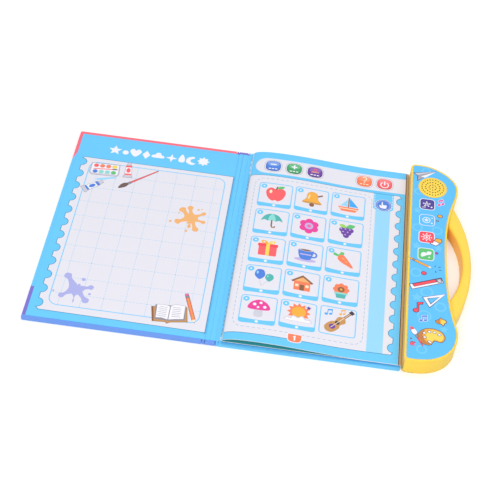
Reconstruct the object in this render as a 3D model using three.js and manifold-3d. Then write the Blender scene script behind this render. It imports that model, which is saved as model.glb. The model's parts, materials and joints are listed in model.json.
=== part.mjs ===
// A children's sound book lying open: a hard cover that folds at two creases, a stitched
// block of pages on a touch pad, and a moulded console with a speaker and a carry handle.
// Millimetres. X runs from the front cover to the console, Y up the page, Z up from the table.
// The origin is the middle of the gutter, where the pages are stitched, on the table.
import * as THREE from 'three';
import { mergeVertices } from 'three/addons/utils/BufferGeometryUtils.js';
import Module from 'manifold-3d';

const wasm = await Module();
wasm.setup();

// Hard cover
const bookHeight = 252;
const boardThickness = 3;
const boardCorner = 1.5;
const frontBoardWidth = 161.5;
const spineWidth = 8.6;
const foldGap = 3.4;
const gutterMargin = 3.3;
const foldFilm = 0.4;
const foldFilmGap = 0.5;
const liningThickness = 0.3;
const liningMargin = 3.6;
const closingClearance = 0.55;

// Wipe-clean drawing panel inside the front cover
const panelThickness = 0.4;
const panelTopMargin = 37.2;
const panelBottomMargin = 12.4;
const panelLeftMargin = 10.7;
const panelFoldMargin = 0.4;
const panelCorner = 1.5;
const scallopCount = 12;
const scallopRadius = 5.4;
const scallopDepth = 5;

// Touch pad and pages
const padThickness = 0.4;
const padInset = 4;
const tailWidth = 14;
const tailBelowCircuitTop = 23;
const pageMargin = 2.5;
const pageForeMargin = 1.4;
const pageLeft = -1.4;
const pageCorner = 3;
const leafStackHeight = 1.8;
const leafThickness = 0.35;
const leafArch = 5.2;
const leafArchX = 24;
const leafRestX = 134;
const leafRootX = -0.8;
const leafRise = { out: 0.6, below: 2 };
const leafCrestPull = 0.35;
const leafCrestRun = 46;
const leafFall = 50;
const leafSteps = 14;
const printStartStep = 2;
const printThickness = 0.12;
const printClearance = 0.05;
const pageFieldTop = 36.5;
const pageFieldLeft = -0.2;
const pageFieldCorner = 2;
const pageFieldBottom = 13;
const pageFieldRight = 5.2;
const pageScallopDepth = 4.6;
const headerTop = 10.8;
const headerHeight = 21.7;
const headerLeft = 2.5;

// Console housing
const consoleGap = 1;
const consoleHeight = 18;
const consoleCorner = 4.4;
const wall = 1.6;
const floorThickness = 1.6;
const partingHeight = 2.6;
const ceiling = 1.8;
const edgeRound = 1.1;
const rimWidth = 1.9;
const labelRecess = 0.6;
const labelThickness = 0.35;
const fitGap = 0.15;
const seatGap = 0.3;
const upperBulge = { x: 47, fromTop: 30.5, sweep: 16.5, fall: 0.25 };
const waist = { x: 36.3, y: 17, rise: 0.64, fall: 0.77 };
const lowerBulge = { x: 47.4, fromBottom: 36, rise: 0.1, sweep: 24 };
const topStraight = 11;
const topSweep = 15;
const bottomStraight = 9;
const bottomSweep = 22;
const tongueMargin = 12;

// Carry handle
const handleHeight = 14.5;
const handleReach = 60.6;
const handleWidth = 8.7;
const handleOuterRadius = 171.7;
const handleInnerRadius = 94.8;
const handleCentreY = -1.5;
const handleRound = 2.6;
const handleRootX = 38.4;

// Speaker and its grille
const speakerX = 21.8;
const speakerFromTop = 31.4;
const speakerRadius = 17;
const coneRadius = 14.2;
const grilleRadius = 14;
const grilleProud = 0.2;
const grillePitch = 3.6;
const grilleHoleRadius = 0.62;
const grilleRings = [1, 8, 16, 24];
const speakerFlange = 1.2;
const basketDepth = 7;
const basketRadius = 9.6;
const magnetRadius = 8;
const magnetHeight = 3;

// Circuit board
const boardLeft = 9.2;
const circuitWidth = 21.5;
const circuitAboveScrews = 7;
const circuitBelowScrews = 16;
const circuitThickness = 1.6;
const postHeight = 4.4;
const postRadius = 2;
const postInset = 3.4;
const connectorLength = 5;
const connectorMargin = 1;
const connectorSink = 0.6;
const chipRadius = 4.6;
const chipHeight = 1.9;
const memoryWidth = 4;
const memoryLength = 6;
const memoryHeight = 1.5;
const chipGap = 1.2;
const capacitorRadius = 2.5;
const capacitorHeight = 5.5;
const capacitorFromBottom = 15;

// Batteries, their bay and its door
const cellRadius = 5.25;
const cellLength = 44.5;
const cellNub = 1;
const cellCount = 3;
const cellGap = 0.3;
const contactThickness = 0.4;
const contactSize = 8;
const springLength = 4.1;
const springWire = 0.35;
const bayWall = 1.2;
const bayLeft = 2.05;
const bayFromBottom = 39.2;
const doorThickness = 1.4;
const doorEarRadius = 4.2;
const doorEarOffset = 4.6;

// Screws
const screwShankRadius = 1;
const screwHoleRadius = 1.3;
const screwHeadRadius = 2.4;
const screwHeadHeight = 1;
const screwHeadSink = 0.2;
const screwLength = 10;
const bossRadius = 3;
const leftEndScrewX = 6.5;
const topEndScrewDrop = 6.5;
const bottomEndScrewRise = 7;
const upperBulgeScrew = { x: 33.9, drop: 13.2 };
const lowerBulgeScrew = { x: 27, rise: 7.2 };
const tongueScrewX = 4.7;
const tongueScrewDrop = 60;
const tongueScrewRise = 73;
const waistScrewX = 31.2;
const waistScrewDrop = 64;
const tongueEnd = 2;
const smallHeadRadius = 1.7;
const smallHeadHeight = 0.8;
const smallShankRadius = 0.7;

// Leads
const leadRadius = 0.6;
const leadPitch = 3.2;
const leadBend = 16;
const speakerLeadX = 9;
const batteryLeadX = 3.4;
const batteryLeadPitch = 12.4;

// Places worked out from the sizes above
const backFoldX = -gutterMargin - foldGap / 2;
const frontFoldX = backFoldX - foldGap - spineWidth;
const foldZ = boardThickness / 2;
const frontBoardRight = frontFoldX - foldGap / 2;
const frontBoardLeft = frontBoardRight - frontBoardWidth;
const spineLeft = frontFoldX + foldGap / 2;
const consoleLeft = backFoldX + foldGap / 2 + frontBoardWidth + closingClearance;
const backBoardRight = consoleLeft - consoleGap;
const padTop = boardThickness + padThickness;
const stackTop = padTop + leafStackHeight;
const leafRest = stackTop + leafThickness;
const pageRight = backBoardRight - pageForeMargin;
const pageTop = bookHeight / 2 - pageMargin;
const labelFloor = consoleHeight - labelRecess;
const ceilingHeight = labelFloor - ceiling;
const handleOuterX = consoleLeft + handleReach;
const handleInnerX = handleOuterX - handleWidth;
const speakerCentreX = consoleLeft + speakerX;
const speakerY = bookHeight / 2 - speakerFromTop;
const circuitTop = floorThickness + postHeight + circuitThickness;

// Colours and finishes
const finish = (color, roughness, metalness = 0) =>
  new THREE.MeshStandardMaterial({ color, roughness, metalness });
const materials = {
  wrap: finish('#6a97e8', 0.45),
  lining: finish('#72cbfc', 0.5),
  whitePrint: finish('#ebebf5', 0.5),
  paper: finish('#7accfb', 0.6),
  film: finish('#c9d2d8', 0.4),
  housing: finish('#ffdc55', 0.4),
  label: finish('#62c0fc', 0.4),
  steel: finish('#b9bcc0', 0.35, 1),
  darkSteel: finish('#5f6266', 0.45, 1),
  cone: finish('#2b2c30', 0.8),
  circuit: finish('#2f7d4c', 0.5),
  blackPlastic: finish('#1d1e21', 0.45),
  cell: finish('#2f5fa8', 0.35),
  redLead: finish('#c8342c', 0.5),
  blackLead: finish('#26272b', 0.5),
};

const soundBook = new THREE.Group();

// A closed mesh as a solid: vertices merged by place, flat triangles dropped, faces outwards.
function toSolid(geometry) {
  geometry.deleteAttribute('normal');
  geometry.deleteAttribute('uv');
  const merged = mergeVertices(geometry, 1e-4);
  const place = merged.attributes.position.array;
  const index = merged.index.array;
  const kept = [];
  let volume = 0;
  for (let i = 0; i < index.length; i += 3) {
    const [a, b, c] = [index[i], index[i + 1], index[i + 2]];
    if (a === b || b === c || a === c) continue;
    kept.push(a, b, c);
    const [p, q, r] = [a, b, c].map((k) => new THREE.Vector3().fromArray(place, 3 * k));
    volume += p.dot(q.cross(r));
  }
  if (volume < 0) kept.reverse();
  return new wasm.Manifold(new wasm.Mesh({
    numProp: 3,
    vertProperties: new Float32Array(place),
    triVerts: new Uint32Array(kept),
  }));
}

// Adds one named piece to the book.
function addPiece(name, solid, material) {
  const mesh = solid.getMesh();
  const geometry = new THREE.BufferGeometry();
  geometry.setAttribute('position', new THREE.BufferAttribute(new Float32Array(mesh.vertProperties), 3));
  geometry.setIndex(new THREE.BufferAttribute(new Uint32Array(mesh.triVerts), 1));
  geometry.computeVertexNormals();
  const piece = new THREE.Mesh(geometry, material);
  piece.name = name;
  soundBook.add(piece);
}

function box(x0, x1, y0, y1, z0, z1) {
  const geometry = new THREE.BoxGeometry(x1 - x0, y1 - y0, z1 - z0);
  geometry.translate((x0 + x1) / 2, (y0 + y1) / 2, (z0 + z1) / 2);
  return toSolid(geometry);
}

// A round bar standing on z0, its centre at x and y.
function post(x, y, radius, z0, z1, sides = 16) {
  const geometry = new THREE.CylinderGeometry(radius, radius, z1 - z0, sides);
  geometry.rotateX(Math.PI / 2);
  geometry.translate(x, y, (z0 + z1) / 2);
  return toSolid(geometry);
}

// A profile of [radius, height] points turned about an upright axis at x and y.
function turned(points, x, y, sides = 24) {
  const geometry = new THREE.LatheGeometry(points.map(([r, z]) => new THREE.Vector2(r, z)), sides);
  geometry.rotateX(Math.PI / 2);
  geometry.translate(x, y, 0);
  return toSolid(geometry);
}

// An outline raised from z0 to z1. A round of the given size softens both rims.
function raised(shape, z0, z1, round = 0, curveSegments = 6) {
  const geometry = new THREE.ExtrudeGeometry(shape, {
    depth: z1 - z0 - 2 * round,
    bevelEnabled: round > 0,
    bevelThickness: round,
    bevelSize: round,
    bevelOffset: -round,
    bevelSegments: 3,
    curveSegments,
  });
  geometry.translate(0, 0, z0 + round);
  return toSolid(geometry);
}

// A section drawn in X and Z, carried along Y from one half height to the other.
function drawnAlongY(section, halfHeight) {
  const geometry = new THREE.ExtrudeGeometry(section, {
    depth: 2 * halfHeight,
    bevelEnabled: false,
    curveSegments: 24,
  });
  geometry.rotateX(Math.PI / 2);
  geometry.translate(0, halfHeight, 0);
  return toSolid(geometry);
}

// A rectangle whose two left and two right corners have their own radius, 0 for a sharp one.
function roundedRectangle(x0, x1, y0, y1, leftCorner, rightCorner) {
  const quarter = Math.PI / 2;
  const shape = new THREE.Shape();
  const corner = (x, y, radius, start) => {
    if (radius > 0) shape.absarc(x, y, radius, start, start + quarter);
    else shape.lineTo(x, y);
  };
  shape.moveTo(x0 + leftCorner, y0);
  corner(x1 - rightCorner, y0 + rightCorner, rightCorner, -quarter);
  corner(x1 - rightCorner, y1 - rightCorner, rightCorner, 0);
  corner(x0 + leftCorner, y1 - leftCorner, leftCorner, quarter);
  corner(x0 + leftCorner, y0 + leftCorner, leftCorner, 2 * quarter);
  return shape;
}

// The same outline drawn further in by an equal distance all round.
function drawnIn(outline, distance) {
  const points = outline.filter((p, i) => p.distanceTo(outline[(i + 1) % outline.length]) > 1e-3);
  const count = points.length;
  const inner = points.map((p, i) => {
    const before = points[(i + count - 1) % count];
    const after = points[(i + 1) % count];
    const arriving = p.clone().sub(before).normalize();
    const leaving = after.clone().sub(p).normalize();
    const normal = new THREE.Vector2(-arriving.y - leaving.y, arriving.x + leaving.x).normalize();
    const stretch = normal.dot(new THREE.Vector2(-leaving.y, leaving.x));
    return p.clone().addScaledVector(normal, distance / stretch);
  });
  return new THREE.Shape(inner);
}

// Round bites along one upright edge of a panel, as half-sunk posts.
function bites(edgeX, inward, depth, yLow, yHigh, z0, z1) {
  const pitch = (yHigh - yLow) / scallopCount;
  const centreX = edgeX + inward * (depth - scallopRadius);
  let all = null;
  for (let i = 0; i < scallopCount; i += 1) {
    const bite = post(centreX, yLow + (i + 0.5) * pitch, scallopRadius, z0, z1, 18);
    all = all ? all.add(bite) : bite;
  }
  return all;
}

// A cover board with a thin film reaching to the fold on one or both sides.
function coverBoard(x0, x1, cornerLeft, cornerRight, filmLeft, filmRight) {
  const half = bookHeight / 2;
  const filmLow = foldZ - foldFilm / 2;
  const filmHigh = foldZ + foldFilm / 2;
  let board = raised(roundedRectangle(x0, x1, -half, half, cornerLeft, cornerRight), 0, boardThickness);
  if (filmLeft) {
    board = board.add(box(x0 - foldGap / 2 + foldFilmGap / 2, x0 + foldFilm, -half, half, filmLow, filmHigh));
  }
  if (filmRight) {
    board = board.add(box(x1 - foldFilm, x1 + foldGap / 2 - foldFilmGap / 2, -half, half, filmLow, filmHigh));
  }
  return board;
}

// Screws that hold the two halves of the housing: from the console's left side, and from its
// top or bottom end. The two beside the circuit board also go through the cover's tongue.
const fromTop = (x, distance) => ({ x: consoleLeft + x, y: bookHeight / 2 - distance });
const fromBottom = (x, distance) => ({ x: consoleLeft + x, y: distance - bookHeight / 2 });
const upperTongueScrew = fromTop(tongueScrewX, tongueScrewDrop);
const lowerTongueScrew = fromBottom(tongueScrewX, tongueScrewRise);
const upperWaistScrew = fromTop(waistScrewX, waistScrewDrop);
const lowerWaistScrew = fromBottom(waistScrewX, tongueScrewRise);
const tongueScrews = [upperTongueScrew, lowerTongueScrew];
const shellScrews = [
  fromTop(leftEndScrewX, topEndScrewDrop),
  fromTop(upperBulgeScrew.x, upperBulgeScrew.drop),
  upperTongueScrew,
  upperWaistScrew,
  lowerTongueScrew,
  lowerWaistScrew,
  fromBottom(leftEndScrewX, bottomEndScrewRise),
  fromBottom(lowerBulgeScrew.x, lowerBulgeScrew.rise),
];

const backBoardLeft = -gutterMargin;
const tongueRight = consoleLeft + boardLeft - seatGap;
const tongueTop = pageTop - tongueMargin;
const tongueBottom = lowerTongueScrew.y - bossRadius - tongueEnd;
const circuitBottomY = lowerWaistScrew.y + circuitAboveScrews;
const circuitTopY = upperWaistScrew.y - circuitBelowScrews;
const circuitCentreY = (circuitBottomY + circuitTopY) / 2;
const tailCentreY = circuitTopY - tailBelowCircuitTop;
const bayCentreY = bayFromBottom - bookHeight / 2;

function buildCover() {
  const front = coverBoard(frontBoardLeft, frontBoardRight, boardCorner, 0, false, true);
  addPiece('front_board', front, materials.wrap);

  const lining = raised(roundedRectangle(
    frontBoardLeft + liningMargin, frontBoardRight,
    -bookHeight / 2 + liningMargin, bookHeight / 2 - liningMargin, boardCorner, 0,
  ), boardThickness, boardThickness + liningThickness);
  addPiece('front_lining', lining, materials.lining);

  const panelLow = boardThickness + liningThickness;
  const panelHigh = panelLow + panelThickness;
  const yLow = -bookHeight / 2 + panelBottomMargin;
  const yHigh = bookHeight / 2 - panelTopMargin;
  const panelLeft = frontBoardLeft + panelLeftMargin;
  const panelRight = frontBoardRight - panelFoldMargin;
  const sheet = raised(roundedRectangle(panelLeft, panelRight, yLow, yHigh, panelCorner, 0), panelLow, panelHigh);
  const holes = bites(panelLeft, 1, scallopDepth, yLow, yHigh, panelLow - 1, panelHigh + 1);
  addPiece('drawing_panel', sheet.subtract(holes), materials.whitePrint);

  const spine = coverBoard(spineLeft, spineLeft + spineWidth, 0, 0, true, true);
  addPiece('spine_board', spine, materials.lining);

  let back = coverBoard(backBoardLeft, backBoardRight, 0, boardCorner, true, false);
  back = back.add(box(backBoardRight - 1, tongueRight, tongueBottom, tongueTop, floorThickness, boardThickness));
  for (const { x, y } of tongueScrews) {
    back = back.subtract(post(x, y, bossRadius + seatGap, 0.5, boardThickness + 1));
  }
  addPiece('back_board', back, materials.lining);
}

// Height of the loose top leaf above its resting height: a steep rise out of the gutter to the
// crest, then a long slope down to the stack.
function leafPath() {
  const crest = leafRest + leafArch;
  const path = new THREE.Path();
  path.moveTo(leafRootX, leafRest);
  path.bezierCurveTo(
    leafRootX + leafRise.out, crest - leafRise.below, leafArchX * leafCrestPull, crest, leafArchX, crest,
  );
  path.bezierCurveTo(leafArchX + leafCrestRun, crest, leafRestX - leafFall, leafRest, leafRestX, leafRest);
  return path.getPoints(leafSteps);
}

// The same line moved away from itself by a thickness, and back along its other side.
function band(line, offset, thickness) {
  const side = (distance) => line.map((p, i) => {
    const before = line[Math.max(i - 1, 0)];
    const after = line[Math.min(i + 1, line.length - 1)];
    const along = after.clone().sub(before).normalize();
    return new THREE.Vector2(p.x - along.y * distance, p.y + along.x * distance);
  });
  return new THREE.Shape([...side(offset), ...side(offset + thickness).reverse()]);
}

function buildPages() {
  const half = bookHeight / 2;
  const pad = box(padInset, pageRight - padInset, -pageTop + padInset, pageTop - padInset, boardThickness, padTop);
  const tail = box(
    pageRight - padInset - 1, consoleLeft + boardLeft - seatGap,
    tailCentreY - tailWidth / 2, tailCentreY + tailWidth / 2, boardThickness, padTop,
  );
  addPiece('touch_pad', pad.add(tail), materials.film);

  const line = leafPath();
  const section = new THREE.Shape();
  section.moveTo(pageLeft, padTop);
  section.lineTo(pageRight, padTop);
  section.lineTo(pageRight, leafRest);
  for (const p of [...line].reverse()) section.lineTo(p.x, p.y);
  section.lineTo(pageLeft, stackTop);
  const under = band(line, -leafThickness - 1e-3, 1e-3).getPoints().slice(0, line.length);
  const hollow = new THREE.Path();
  const inside = under.filter((p) => p.y > stackTop + 0.02 && p.x > leafRootX + leafThickness);
  hollow.moveTo(leafRootX + 2 * leafThickness, stackTop);
  for (const p of inside) hollow.lineTo(p.x, p.y);
  hollow.lineTo(inside[inside.length - 1].x + 1, stackTop);
  section.holes.push(hollow);
  const outline = roundedRectangle(pageLeft, pageRight, -pageTop, pageTop, pageCorner, boardCorner);
  const block = drawnAlongY(section, half).intersect(raised(outline, 0, consoleHeight));
  addPiece('page_block', block, materials.paper);

  const surface = [...line.slice(printStartStep), new THREE.Vector2(pageRight + 1, leafRest)];
  const skin = drawnAlongY(band(surface, printClearance, printThickness), half);
  const fieldLow = -half + pageFieldBottom;
  const fieldHigh = half - pageFieldTop;
  const fieldRight = pageRight - pageFieldRight;
  const fieldOutline = roundedRectangle(
    pageFieldLeft, fieldRight, fieldLow, fieldHigh, pageFieldCorner, panelCorner,
  );
  const field = raised(fieldOutline, 0, consoleHeight);
  const cuts = bites(fieldRight, -1, pageScallopDepth, fieldLow, fieldHigh, 0, consoleHeight);
  addPiece('page_panel_print', skin.intersect(field.subtract(cuts)), materials.whitePrint);

  const high = half - headerTop;
  const header = roundedRectangle(headerLeft, pageRight, high - headerHeight, high, headerHeight / 2, 0);
  addPiece('page_header_print', skin.intersect(raised(header, 0, consoleHeight)), materials.whitePrint);
}

// The outline of the console seen from above: a straight side against the cover and a
// flowing side with two bulges and a waist.
function consoleOutline() {
  const half = bookHeight / 2;
  const x = (value) => consoleLeft + value;
  const high = half - upperBulge.fromTop;
  const low = lowerBulge.fromBottom - half;
  const upperSpan = high - waist.y;
  const lowerSpan = waist.y - low;
  const shape = new THREE.Shape();
  shape.moveTo(consoleLeft + consoleCorner, half);
  shape.absarc(consoleLeft + consoleCorner, half - consoleCorner, consoleCorner, Math.PI / 2, Math.PI);
  shape.absarc(consoleLeft + consoleCorner, -half + consoleCorner, consoleCorner, Math.PI, 1.5 * Math.PI);
  shape.lineTo(x(bottomStraight), -half);
  shape.bezierCurveTo(
    x(bottomStraight + bottomSweep), -half, x(lowerBulge.x), low - lowerBulge.sweep, x(lowerBulge.x), low,
  );
  shape.bezierCurveTo(
    x(lowerBulge.x), low + lowerBulge.rise * lowerSpan,
    x(waist.x), waist.y - waist.fall * lowerSpan, x(waist.x), waist.y,
  );
  shape.bezierCurveTo(
    x(waist.x), waist.y + waist.rise * upperSpan,
    x(upperBulge.x), high - upperBulge.fall * upperSpan, x(upperBulge.x), high,
  );
  shape.bezierCurveTo(
    x(upperBulge.x), high + upperBulge.sweep, x(topStraight + topSweep), half, x(topStraight), half,
  );
  return shape.getPoints(16);
}

const outline = consoleOutline();

// The handle seen from above, between two arcs. Its roots run into the console.
function handleShape(inset) {
  const outerRadius = handleOuterRadius - inset;
  const innerRadius = handleInnerRadius + inset;
  const outerCentreX = handleOuterX - handleOuterRadius;
  const innerCentreX = handleInnerX - handleInnerRadius;
  const rootX = consoleLeft + handleRootX;
  const outerEnd = Math.acos((rootX - outerCentreX) / outerRadius);
  const innerEnd = Math.acos((rootX - innerCentreX) / innerRadius);
  const shape = new THREE.Shape();
  shape.absarc(outerCentreX, handleCentreY, outerRadius, -outerEnd, outerEnd, false);
  shape.absarc(innerCentreX, handleCentreY, innerRadius, innerEnd, -innerEnd, true);
  return shape;
}

const cavityShape = drawnIn(outline, wall);
const consoleBlock = raised(new THREE.Shape(outline), -1, consoleHeight + 1);
const handleHollow = raised(handleShape(wall), floorThickness, handleHeight - wall).subtract(consoleBlock);

const bayRight = bayLeft + 2 * bayWall + cellCount * 2 * cellRadius + (cellCount + 1) * cellGap;
const bayX0 = consoleLeft + bayLeft;
const bayX1 = consoleLeft + bayRight;
const bayInside = cellLength + springLength + 2 * contactThickness + 0.3;
const bayY0 = bayCentreY - bayInside / 2;
const bayY1 = bayCentreY + bayInside / 2;
const cellZ = floorThickness + cellGap + cellRadius;
const bayRoof = cellZ + cellRadius + cellGap;
const doorEarX = (bayX0 + bayX1) / 2;
const doorEarY = bayY1 + doorEarOffset;

function buildHousing() {
  const body = raised(new THREE.Shape(outline), -4, consoleHeight, edgeRound)
    .add(raised(handleShape(0), -4, handleHeight, handleRound));
  const aboveParting = box(consoleLeft - 5, handleOuterX + 5, -bookHeight, bookHeight, partingHeight, 2 * consoleHeight);
  const cavity = raised(cavityShape, -5, ceilingHeight);
  let top = body.intersect(aboveParting).subtract(cavity).subtract(handleHollow);
  top = top.subtract(raised(drawnIn(outline, rimWidth), labelFloor, consoleHeight + 1));
  top = top.add(post(speakerCentreX, speakerY, grilleRadius, labelFloor - 0.5, consoleHeight + grilleProud, 48));
  for (const { x, y } of shellScrews) {
    top = top.add(post(x, y, bossRadius, partingHeight, ceilingHeight + 0.5));
    top = top.subtract(post(x, y, screwHoleRadius, partingHeight - 1, partingHeight + screwLength, 12));
  }
  grilleRings.forEach((count, ring) => {
    for (let i = 0; i < count; i += 1) {
      const angle = (2 * Math.PI * i) / count;
      const x = speakerCentreX + ring * grillePitch * Math.cos(angle);
      const y = speakerY + ring * grillePitch * Math.sin(angle);
      top = top.subtract(post(x, y, grilleHoleRadius, ceilingHeight - 1, consoleHeight + 1, 6));
    }
  });
  const slotTop = padTop + 2 * fitGap;
  top = top.subtract(box(
    consoleLeft - 1, consoleLeft + wall + 0.5,
    tongueBottom - seatGap, tongueTop + seatGap, partingHeight - 1, slotTop,
  ));
  addPiece('console_top_shell', top, materials.housing);

  let base = raised(new THREE.Shape(outline), 0, partingHeight).add(raised(handleShape(0), 0, partingHeight));
  base = base.subtract(raised(cavityShape, floorThickness, partingHeight + 1)).subtract(handleHollow);
  base = base.subtract(box(
    consoleLeft - 1, consoleLeft + wall + 0.5,
    tongueBottom - seatGap, tongueTop + seatGap, floorThickness, partingHeight + 1,
  ));
  for (const { x, y } of shellScrews) {
    base = base.add(post(x, y, bossRadius, floorThickness - 0.5, partingHeight));
    base = base.subtract(post(x, y, screwHoleRadius, -1, partingHeight + 1, 12));
    base = base.subtract(post(x, y, screwHeadRadius + seatGap, -1, screwHeadSink + screwHeadHeight));
  }
  base = base.add(box(bayX0, bayX1, bayY0 - bayWall, bayY1 + bayWall, floorThickness - 0.5, bayRoof + bayWall));
  base = base.subtract(box(bayX0 + bayWall, bayX1 - bayWall, bayY0, bayY1, -1, bayRoof));
  base = base.add(post(doorEarX, doorEarY, bossRadius, floorThickness - 0.5, floorThickness + 6));
  base = base.subtract(post(doorEarX, doorEarY, doorEarRadius + fitGap, -1, doorThickness, 20));
  base = base.subtract(box(
    doorEarX - doorEarRadius - fitGap, doorEarX + doorEarRadius + fitGap,
    bayY1 - 1, doorEarY, -1, doorThickness,
  ));
  base = base.subtract(post(doorEarX, doorEarY, screwHoleRadius, -1, floorThickness + 5, 12));
  for (const [x, y] of circuitPosts()) {
    base = base.add(post(x, y, postRadius, floorThickness - 0.5, floorThickness + postHeight, 12));
    base = base.subtract(post(x, y, smallShankRadius + fitGap, floorThickness + 1, floorThickness + postHeight + 1, 8));
  }
  addPiece('console_bottom_shell', base, materials.housing);

  const label = raised(drawnIn(outline, rimWidth + fitGap), labelFloor, labelFloor + labelThickness);
  const window = post(speakerCentreX, speakerY, grilleRadius + seatGap, labelFloor - 1, consoleHeight, 48);
  addPiece('console_label', label.subtract(window), materials.label);
}

// A self-tapping screw driven upwards from below: a pan head, a plain shank and a point.
function screw(x, y, headZ, headRadius, headHeight, shankRadius, length) {
  const shoulder = headZ + headHeight;
  const tip = shoulder + length;
  return turned([
    [0, headZ],
    [headRadius - 0.3, headZ],
    [headRadius, headZ + 0.3],
    [headRadius, shoulder],
    [shankRadius, shoulder],
    [shankRadius, tip - shankRadius],
    [0, tip],
  ], x, y, 14);
}

function buildScrews() {
  shellScrews.forEach(({ x, y }, i) => {
    const piece = screw(x, y, screwHeadSink, screwHeadRadius, screwHeadHeight, screwShankRadius, screwLength - 1);
    addPiece(`shell_screw_${i + 1}`, piece, materials.steel);
  });
}

function circuitPosts() {
  const left = consoleLeft + boardLeft + postInset;
  const right = consoleLeft + boardLeft + circuitWidth - postInset;
  const high = circuitTopY - postInset;
  const low = circuitBottomY + postInset;
  return [[left, high], [right, high], [left, low], [right, low]];
}

function buildElectronics() {
  const x0 = consoleLeft + boardLeft;
  const x1 = x0 + circuitWidth;
  const low = floorThickness + postHeight;
  let circuit = box(x0, x1, circuitBottomY, circuitTopY, low, circuitTop);
  circuitPosts().forEach(([x, y], i) => {
    if (i % 3 !== 0) return;
    circuit = circuit.subtract(post(x, y, smallShankRadius + seatGap, low - 1, circuitTop + 1, 10));
    const tip = circuitTop - circuitThickness - 2.6;
    const piece = turned([
      [0, tip],
      [smallShankRadius, tip + smallShankRadius],
      [smallShankRadius, circuitTop],
      [smallHeadRadius, circuitTop],
      [smallHeadRadius, circuitTop + smallHeadHeight / 2],
      [smallHeadRadius / 2, circuitTop + smallHeadHeight],
      [0, circuitTop + smallHeadHeight],
    ], x, y, 12);
    addPiece(`circuit_screw_${i === 0 ? 1 : 2}`, piece, materials.steel);
  });
  addPiece('circuit_board', circuit, materials.circuit);

  const connectorHalf = tailWidth / 2 + connectorMargin;
  const connector = box(
    x0, x0 + connectorLength, tailCentreY - connectorHalf, tailCentreY + connectorHalf,
    boardThickness - connectorSink, low,
  );
  addPiece('tail_connector', connector, materials.blackPlastic);

  const chipX = x0 + circuitWidth / 2;
  const dome = [[0, 0], [1, 0], [0.91, 0.47], [0.57, 0.84], [0, 1]]
    .map(([across, up]) => [across * chipRadius, circuitTop + up * chipHeight]);
  addPiece('sound_chip', turned(dome, chipX, circuitCentreY, 20), materials.blackPlastic);
  const memoryX = chipX + chipRadius + chipGap;
  const memory = box(
    memoryX, memoryX + memoryWidth, circuitCentreY - memoryLength / 2, circuitCentreY + memoryLength / 2,
    circuitTop, circuitTop + memoryHeight,
  );
  addPiece('memory_chip', memory, materials.blackPlastic);
  const capacitorY = circuitBottomY + capacitorFromBottom;
  const capacitor = post(chipX, capacitorY, capacitorRadius, circuitTop, circuitTop + capacitorHeight);
  addPiece('capacitor', capacitor, materials.cell);
}

function buildSpeaker() {
  const top = ceilingHeight;
  const low = top - basketDepth;
  const frame = turned([
    [coneRadius, top],
    [coneRadius, top - speakerFlange],
    [basketRadius - 1, low + 1],
    [3, low + 1],
    [3, low],
    [basketRadius, low],
    [coneRadius + 1, top - speakerFlange],
    [speakerRadius, top - speakerFlange],
    [speakerRadius, top],
    [coneRadius, top],
  ], speakerCentreX, speakerY, 28);
  addPiece('speaker_frame', frame, materials.darkSteel);
  const rim = coneRadius - seatGap;
  const cone = turned([
    [0, low + 3.2],
    [2.5, low + 2.4],
    [rim - 1, top - speakerFlange - 0.2],
    [rim, top - speakerFlange + 0.3],
    [rim, top - speakerFlange + 0.7],
    [rim - 1.4, top - speakerFlange + 0.3],
    [2.8, low + 3.2],
    [0, low + 4],
  ], speakerCentreX, speakerY, 28);
  addPiece('speaker_cone', cone, materials.cone);
  const magnet = post(speakerCentreX, speakerY, magnetRadius, low - magnetHeight, low, 24);
  addPiece('speaker_magnet', magnet, materials.steel);
}

// A coil spring along Y that narrows from its plate to the cell.
function spring(x, plateY, towards) {
  const turns = 3;
  const steps = 10 * turns;
  const points = [];
  for (let i = 0; i <= steps; i += 1) {
    const share = i / steps;
    const angle = 2 * Math.PI * turns * share;
    const radius = 3.2 - 1.4 * share;
    const y = plateY + towards * (springWire + 0.05 + share * (springLength - 2 * springWire - seatGap));
    points.push(new THREE.Vector3(x + radius * Math.cos(angle), y, cellZ + radius * Math.sin(angle)));
  }
  const section = new THREE.Shape();
  section.absarc(0, 0, springWire, 0, 2 * Math.PI);
  return toSolid(new THREE.ExtrudeGeometry(section, {
    steps,
    curveSegments: 3,
    bevelEnabled: false,
    extrudePath: new THREE.CatmullRomCurve3(points),
  }));
}

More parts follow.
